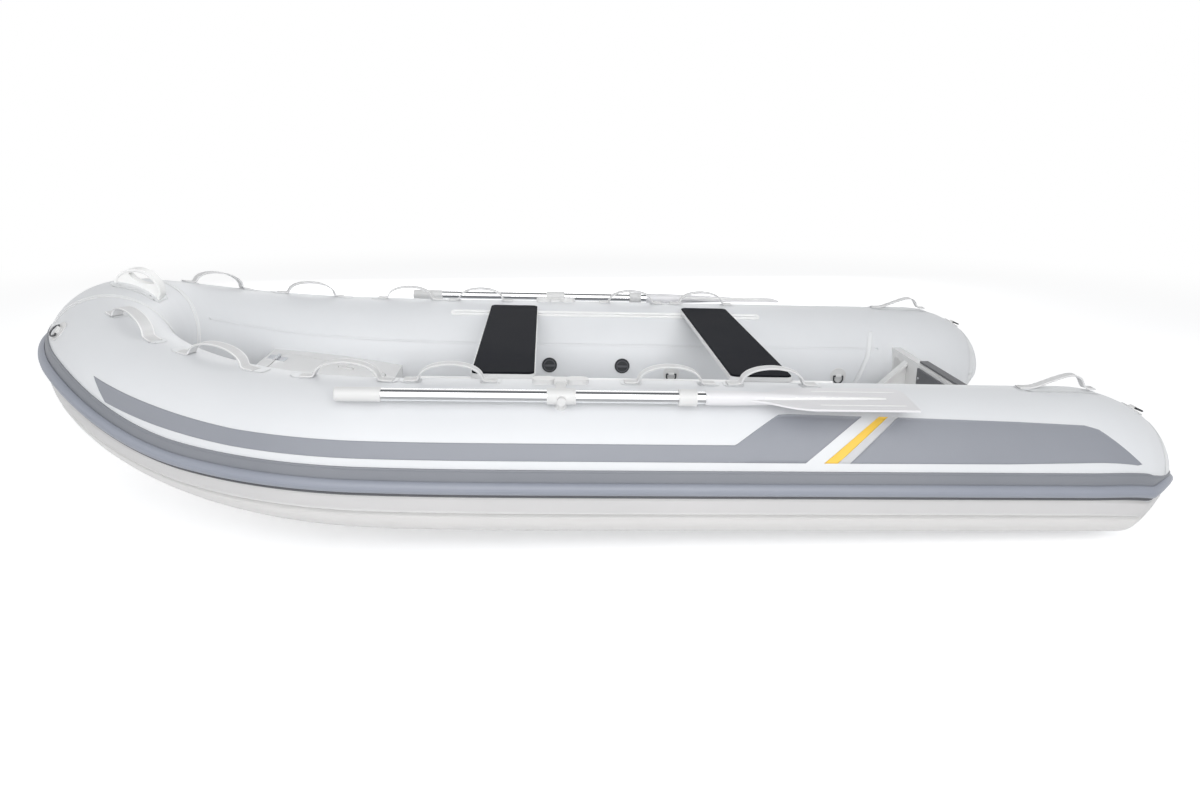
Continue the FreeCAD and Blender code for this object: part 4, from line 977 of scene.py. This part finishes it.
for label, place, rows, columns, thickness, paint in (
        ("bow_tape", tape_round(BOW_TAPE, TAPE_WIDTH), 97, 5, TAPE_THICKNESS, "tape"),
        # The beads are brighter than the tape, a painted highlight of its edges.
        ("bow_tape_fore_bead", tape_round(moved(BOW_TAPE, TAPE_WIDTH / 2), BEAD_WIDTH), 97, 4, BEAD_HEIGHT,
         "edge"),
        ("bow_tape_aft_bead", tape_round(moved(BOW_TAPE, -TAPE_WIDTH / 2), BEAD_WIDTH), 97, 4, BEAD_HEIGHT,
         "edge"),
        ("inside_tape", tape_along(*INSIDE_TAPE, INSIDE_WIDTH), 181, 4, INSIDE_THICKNESS, "tube"),
        ("cone_tape", tape_round(CONE_TAPE, TAPE_WIDTH), 121, 5, TAPE_THICKNESS, "tape"),
        ("hull_flap", hull_flap(FLAP_HIGH_ANGLE, FLAP_LOW_ANGLE), 241, 9, FLAP_THICKNESS, "flap"),
        # The strip just under the strake is darker, as painted shade.
        ("hull_flap_painted_shade", hull_flap(FLAP_TOP_ANGLE, FLAP_HIGH_ANGLE - 1.0), 241, 5, FLAP_THICKNESS / 2,
         "flap_high"),
        ("hull_flap_line", tape_along(*FLAP_LINE, BEAD_WIDTH), 181, 3, 2 * FLAP_THICKNESS, "flap"),
        ("transom_corner_tape", tape_round(CORNER_TAPE, CORNER_TAPE_WIDTH), 41, 5, TAPE_THICKNESS, "tape")):
    points, faces = sheet_on_skin(place, rows, columns, STRIPE_LIFT, thickness)
    both_sides(label, points, faces, paint, "tube_fabric")
print("tapes laid")

# %% [markdown]
# A grab strap is one length of flat webbing: each end lies sewn on a patch, and between them it stands in
# an arch. Webbing could be a flat plane with a thickness, but its rolled edges are what the light finds, so
# a rounded profile is carried along the strap's line. The line is drawn in the plane that stands on the
# tube along its crown.

# %% Webbing tools
WEBBING_SECTION = ((-1, -0.4), (-1, 0.4), (-0.97, 0.8), (-0.91, 1), (-0.5, 0.92), (0.5, 0.92), (0.91, 1),
                   (0.97, 0.8), (1, 0.4), (1, -0.4), (0.97, -0.8), (0.91, -1), (0.5, -0.92), (-0.5, -0.92),
                   (-0.91, -1), (-0.97, -0.8))
CORD_SECTION = tuple((math.cos(math.pi * k / 4), math.sin(math.pi * k / 4)) for k in range(7, -1, -1))
STRAP_LAYERS = (("webbing", "webbing"), ("patches", "tape"), ("edges", "edge"), ("stitches", "thread"))
EDGE_CORD = 0.0056
SEAT_STEP = 0.002
STITCH_LENGTH = 0.0032
STITCH_WIDTH = 0.0007
STITCH_HEIGHT = 0.0005
STITCH_PITCH = 0.0045


def skin_frame(station, angle):
    """Origin, the way along the tube, the way off it and the way across."""
    ahead = (skin(station + SEAT_STEP, angle) - skin(station - SEAT_STEP, angle)).normalized()
    out = cut_at(station)[1]
    a = math.radians(angle)
    away = out * math.cos(a) + UP * math.sin(a)
    away = (away - ahead * away.dot(ahead)).normalized()
    return skin(station, angle), ahead, away, away.cross(ahead)


def carried(line, seat, section, width, thickness, shift=0.0):
    """Points and faces of a section carried along a line of (ahead, away) pairs on a seat."""
    origin, ahead, away, across = seat
    points = []
    last = len(line) - 1
    for i, (x, z) in enumerate(line):
        x0, z0 = line[max(0, i - 1)]
        x1, z1 = line[min(last, i + 1)]
        run = Vector((x1 - x0, z1 - z0)).normalized()
        centre = origin + ahead * x + away * z
        normal = away * run.x - ahead * run.y
        for c, n in section:
            points.append(centre + across * (c * width / 2 + shift) + normal * (n * thickness / 2))
    return points, capped_faces(len(line), len(section), flip=True)


def edge_cords(line, seat, width):
    """The two woven cords along a strap's edges."""
    return [carried(line, seat, CORD_SECTION, EDGE_CORD, EDGE_CORD, side * (width - EDGE_CORD) / 2)
            for side in (-1, 1)]


def join(parts):
    """One list of points and one of faces from several."""
    points = []
    faces = []
    for some_points, some_faces in parts:
        start = len(points)
        points += some_points
        faces += [tuple(start + k for k in face) for face in some_faces]
    return points, faces


def smooth_line(corners, rounds=3):
    """Cut the corners of a line over and over, so that it bends instead of breaking."""
    line = [Vector(c) for c in corners]
    for _ in range(rounds):
        cut = [line[0]]
        for a, b in zip(line, line[1:]):
            cut += [a.lerp(b, 0.25), a.lerp(b, 0.75)]
        line = cut + [line[-1]]
    return [(p.x, p.y) for p in line]


def stitch(place, run, away):
    """One thread stitch: a small spindle lying on the webbing."""
    half_run = run * STITCH_LENGTH / 2
    half_side = away.cross(run) * STITCH_WIDTH / 2
    points = [place - half_run, place + half_run, place + half_side, place - half_side,
              place + away * STITCH_HEIGHT]
    return points, [(0, 3, 4), (3, 1, 4), (1, 2, 4), (2, 0, 4), (0, 2, 1, 3)]


def box_stitch(seat, x, z, half_length, half_width):
    """Stitches round a rectangle and along its two diagonals."""
    origin, ahead, away, across = seat
    corners = [origin + ahead * (x + a * half_length) + across * (b * half_width) + away * z
               for a, b in ((-1, -1), (1, -1), (1, 1), (-1, 1))]
    parts = []
    for i, j in ((0, 1), (1, 2), (2, 3), (3, 0), (0, 2), (1, 3)):
        start = corners[i]
        end = corners[j]
        count = max(1, int((end - start).length / STITCH_PITCH))
        for k in range(count):
            parts.append(stitch(start.lerp(end, (k + 0.5) / count), (end - start).normalized(), away))
    return parts


print("webbing tools ready")

# %% [markdown]
# The same strap stands at six places on each tube: three along the straight side and three round the bow.
# Its arch is half an oval between two flat feet, and each foot is sewn to a patch with a box of stitches
# and its two diagonals.

# %% Grab straps
STRAP_STATIONS = (0.387, -0.252, -0.556)
STRAP_BOW_XS = (0.685,)
STRAP_BOW_DEGREES = (53.0, 29.5)
STRAP_WIDTH = 0.042
STRAP_THICKNESS = 0.0042
STRAP_HALF_SPAN = 0.092
STRAP_HEIGHT = 0.054
STRAP_FOOT = 0.042
PATCH_THICKNESS = 0.001
STRAP_FOOT_BEND = 0.004
STRAP_FOOT_SHIFT = 0.002
ARCH_STEPS = 24
ARCH_POWER = 0.85
PATCH_CORNER = 0.35
STRAP_BOX = (0.014, 0.011)
STRAP_PATCH = (0.031, 0.026)


def strap_line():
    """Half an oval on two flat feet."""
    low = PATCH_THICKNESS + STRAP_THICKNESS / 2
    top = STRAP_HEIGHT - STRAP_THICKNESS / 2
    arch = [(-STRAP_HALF_SPAN * math.cos(a), low + (top - low) * math.sin(a) ** ARCH_POWER)
            for a in (math.pi * i / ARCH_STEPS for i in range(1, ARCH_STEPS))]
    bend = STRAP_HALF_SPAN + STRAP_FOOT_BEND
    end = STRAP_HALF_SPAN + STRAP_FOOT
    return smooth_line([(-end, low), (-bend, low)] + arch + [(bend, low), (end, low)], 2)


def pad_patch(station, half_length, half_width, lift=0.0004, thickness=PATCH_THICKNESS, angle=90.0):
    """A glued patch with rounded corners."""
    spread = math.degrees(half_width / cut_at(station)[2])

    def place(share, across):
        u = 2 * share - 1
        v = 2 * across - 1
        pull = 1.0 - PATCH_CORNER * (abs(u) * abs(v)) ** 6
        return station + u * half_length * pull, angle + v * spread * pull
    return sheet_on_skin(place, 17, 13, lift, thickness)


strap_parts = []
strap_edges = []
strap_patches = []
strap_stitches = []
for station in [*STRAP_STATIONS, *[bow_station_at(x) for x in STRAP_BOW_XS],
                *[bow_station(d) for d in STRAP_BOW_DEGREES]]:
    seat = skin_frame(station, 90.0)
    strap_parts.append(carried(strap_line(), seat, WEBBING_SECTION, STRAP_WIDTH, STRAP_THICKNESS))
    strap_edges += edge_cords(strap_line(), seat, STRAP_WIDTH)
    for end in (-1, 1):
        foot = end * (STRAP_HALF_SPAN + STRAP_FOOT / 2 + STRAP_FOOT_SHIFT)
        strap_patches.append(pad_patch(station + foot, *STRAP_PATCH))
        strap_stitches += box_stitch(seat, foot, PATCH_THICKNESS + STRAP_THICKNESS, *STRAP_BOX)
layers = [join(parts) for parts in (strap_parts, strap_patches, strap_edges, strap_stitches)]
for side, forms in (("port", layers), ("starboard", [mirrored(*form) for form in layers])):
    for (label, paint), form in zip(STRAP_LAYERS, forms):
        piece = make_piece(side + "_strap_" + label, *form, paint, "webbing")
        if label == "webbing":
            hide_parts(side + "_grab_straps")
print("straps", len(strap_parts), "a side, stitches", len(strap_stitches))

# %% [markdown]
# The lifting strap near each stern tip is looser webbing: it climbs slowly from its fore end and drops
# steeply aft. It is the same profile carried along another line, on one long patch.

# %% Lifting straps
LIFT_STATION = -1.425
LIFT_WIDTH = 0.036
LIFT_PATCH = (0.124, 0.036)
LIFT_LINE = ((0.118, 0.0035), (0.088, 0.0035), (0.072, 0.006), (0.035, 0.020), (0.0, 0.034), (-0.030, 0.0435),
             (-0.052, 0.0445), (-0.070, 0.034), (-0.082, 0.010), (-0.090, 0.0035), (-0.116, 0.0035))
LIFT_BOXES = ((0.102, 0.0057, 0.011, 0.013), (-0.103, 0.0057, 0.010, 0.013))
LONG_PATCH_THICKNESS = 0.0012
lift_seat = skin_frame(LIFT_STATION, 90.0)
lift_parts = [carried(smooth_line(LIFT_LINE), lift_seat, WEBBING_SECTION, LIFT_WIDTH, STRAP_THICKNESS)]
lift_edges = edge_cords(smooth_line(LIFT_LINE), lift_seat, LIFT_WIDTH)
lift_stitches = [form for box in LIFT_BOXES for form in box_stitch(lift_seat, *box)]
lift_patch = [pad_patch(LIFT_STATION, *LIFT_PATCH, thickness=LONG_PATCH_THICKNESS)]
pieces = []
for (label, paint), parts in zip(STRAP_LAYERS, (lift_parts, lift_patch, lift_edges, lift_stitches)):
    form = join(parts)
    pieces.append(make_piece("lifting_" + label, *join([form, mirrored(*form)]), paint, "webbing"))
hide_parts("stern_lifting_straps")
print("lifting straps", len(pieces))

# %% [markdown]
# Small fittings that are too fine for the solids: the patches under the bow handle, the turning bars and
# rims of the valve caps, and the screws of the transom pads. Each is a profile laid on the skin or on a
# node's own box.

# %% Small fittings
HANDLE_ANGLE = 114.0
HANDLE_PATCHES = (("under", 0.128, 0.088, 0.0004), ("upper", 0.100, 0.066, 0.0016))
VALVE_STATIONS = (0.100, -0.200)
VALVE_RIM = 0.0245
VALVE_TOP = 0.0088
VALVE_RIM_PROFILE = ((1.0, 0.0), (1.0, 0.10), (0.94, 0.14), (0.88, 0.10), (0.86, 0.0))
BAR_TOP = VALVE_TOP + 0.0028
BAR_LINE = ((-0.019, VALVE_TOP), (-0.0175, BAR_TOP), (0.0175, BAR_TOP), (0.019, VALVE_TOP))
BAR_WIDTH = 0.0075
BAR_THICKNESS = 0.004
SCREW_R = 0.0052
SCREW_PROFILE = ((1.0, 0.0), (1.0, 0.14), (0.86, 0.28), (0.5, 0.36), (0.3, 0.36), (0.24, 0.16))
SCREW_INSET = 0.018


def revolved(place, away, across, profile, radius, sides=20):
    """A small turned form; profile gives shares of the radius out from the axis and up."""
    other = away.cross(across)
    points = []
    for out, up in profile:
        for k in range(sides):
            a = 2 * math.pi * k / sides
            spoke = across * math.cos(a) + other * math.sin(a)
            points.append(place + spoke * (out * radius) + away * (up * radius))
    return points, capped_faces(len(profile), sides)


for label, half_length, half_width, lift in HANDLE_PATCHES:
    form = pad_patch(STEM, half_length, half_width, lift, LONG_PATCH_THICKNESS, HANDLE_ANGLE)
    make_piece("handle_patch_" + label, *form, "tape", "tube_fabric")
cap_parts = []
for station in VALVE_STATIONS:
    seat = skin_frame(station, 180.0)
    origin, ahead, away, across = seat
    foot = origin + away * (VALVE_TOP - 0.0008)
    cap_parts.append(revolved(foot, away, ahead, VALVE_RIM_PROFILE, VALVE_RIM, 40))
    cap_parts.append(carried(smooth_line(BAR_LINE, 2), seat, WEBBING_SECTION, BAR_WIDTH, BAR_THICKNESS))
both_sides("valve_bars", *join(cap_parts), "pad", "black_plastic")
screws = []
for node, face in (("transom_outer_pad", -1), ("transom_inner_pad", 1)):
    low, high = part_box(node)
    x = low.x if face < 0 else high.x
    for y in (low.y + SCREW_INSET, 0.0, high.y - SCREW_INSET):
        for z in (low.z + SCREW_INSET, high.z - 2 * SCREW_INSET):
            place = Vector((x, y, z))
            screws.append(revolved(place, Vector((face, 0, 0)), Vector((0, face, 0)), SCREW_PROFILE, SCREW_R))
make_piece("pad_screws", *join(screws), "steel", "steel")
print("valve caps", 2 * len(VALVE_STATIONS), "screws", len(screws))

# %% [markdown]
# Each seat carries a thin foam mat under black coated cloth. A mat like this isn't stuffed: it is flat,
# with a rounded edge and a few slack wrinkles where hands pull it. So its top is a fine grid, raised by the
# distance from its rounded outline, with slow waves near the ends.

# %% Seat covers
COVER_ROUND = 0.006
COVER_THICK = 0.0052
COVER_CORNER = 0.020
COVER_GRID = (33, 141)
COVER_BASE = 0.0024
END_REACH = 0.16
WAVE_HEIGHT = 0.0007
SLACK_HEIGHT = 0.0006


def inside_outline(x, y, half_x, half_y, corner):
    """Pull a point into a rounded rectangle; also gives its distance from the edge."""
    dx = abs(x) - half_x + corner
    dy = abs(y) - half_y + corner
    if dx <= 0 or dy <= 0:
        return x, y, min(half_x - abs(x), half_y - abs(y))
    reach = math.hypot(dx, dy)
    pull = min(1.0, corner / reach)
    x = math.copysign(half_x - corner + dx * pull, x)
    y = math.copysign(half_y - corner + dy * pull, y)
    return x, y, corner - reach * pull


def spaced(half, count, edge):
    """Places from one edge to the other, closer together near the edges."""
    inner = [-half + edge + (2 * half - 2 * edge) * i / (count - 1) for i in range(count)]
    rim = [half - edge * share for share in (0.0, 0.12, 0.3, 0.55, 0.8)]
    return [-r for r in rim] + inner + rim[::-1]


def make_cover(node, name, body, seed):
    low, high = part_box(node)
    half_y = (high.y - low.y) / 2
    ahead = Vector((1, 0, SHEER_SLOPE)).normalized()
    away = Vector((-SHEER_SLOPE, 0, 1)).normalized()
    half_x = (high.x - low.x) / 2 / ahead.x - 0.0001
    base = (low + high) / 2 - away * COVER_BASE
    rows, columns = COVER_GRID
    top = []
    bottom = []
    for x in spaced(half_x, rows, COVER_ROUND):
        upper = []
        lower = []
        for y in spaced(half_y, columns, COVER_ROUND):
            px, py, depth = inside_outline(x, y, half_x, half_y, COVER_CORNER)
            share = min(1.0, max(0.0, depth) / COVER_ROUND)
            rise = COVER_THICK * (0.35 + 0.65 * math.sqrt(1 - (1 - share) ** 2))
            end = math.exp(-((half_y - abs(py)) / END_REACH) ** 2)
            wave = noise.noise(Vector((px * 9 + seed, py * 16, 3.1 + seed)))
            slack = noise.noise(Vector((px * 34 - py * 20, py * 9 + seed, 0.4)))
            rise += share * (WAVE_HEIGHT * wave * (0.4 + end) + SLACK_HEIGHT * end * slack)
            place = base + ahead * px + Vector((0, py, 0))
            upper.append(place + away * rise)
            lower.append(place)
        top.append(upper)
        bottom.append(lower)
    cover = make_piece(name, *slab(bottom, top), "cover", "seat_cover", body)
    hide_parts(node)


make_cover("fore_seat_pad", "fore_seat_cover", "fore_seat_body", 0.0)
make_cover("aft_seat_pad", "aft_seat_cover", "aft_seat_body", 7.3)
print("seat covers", 2)
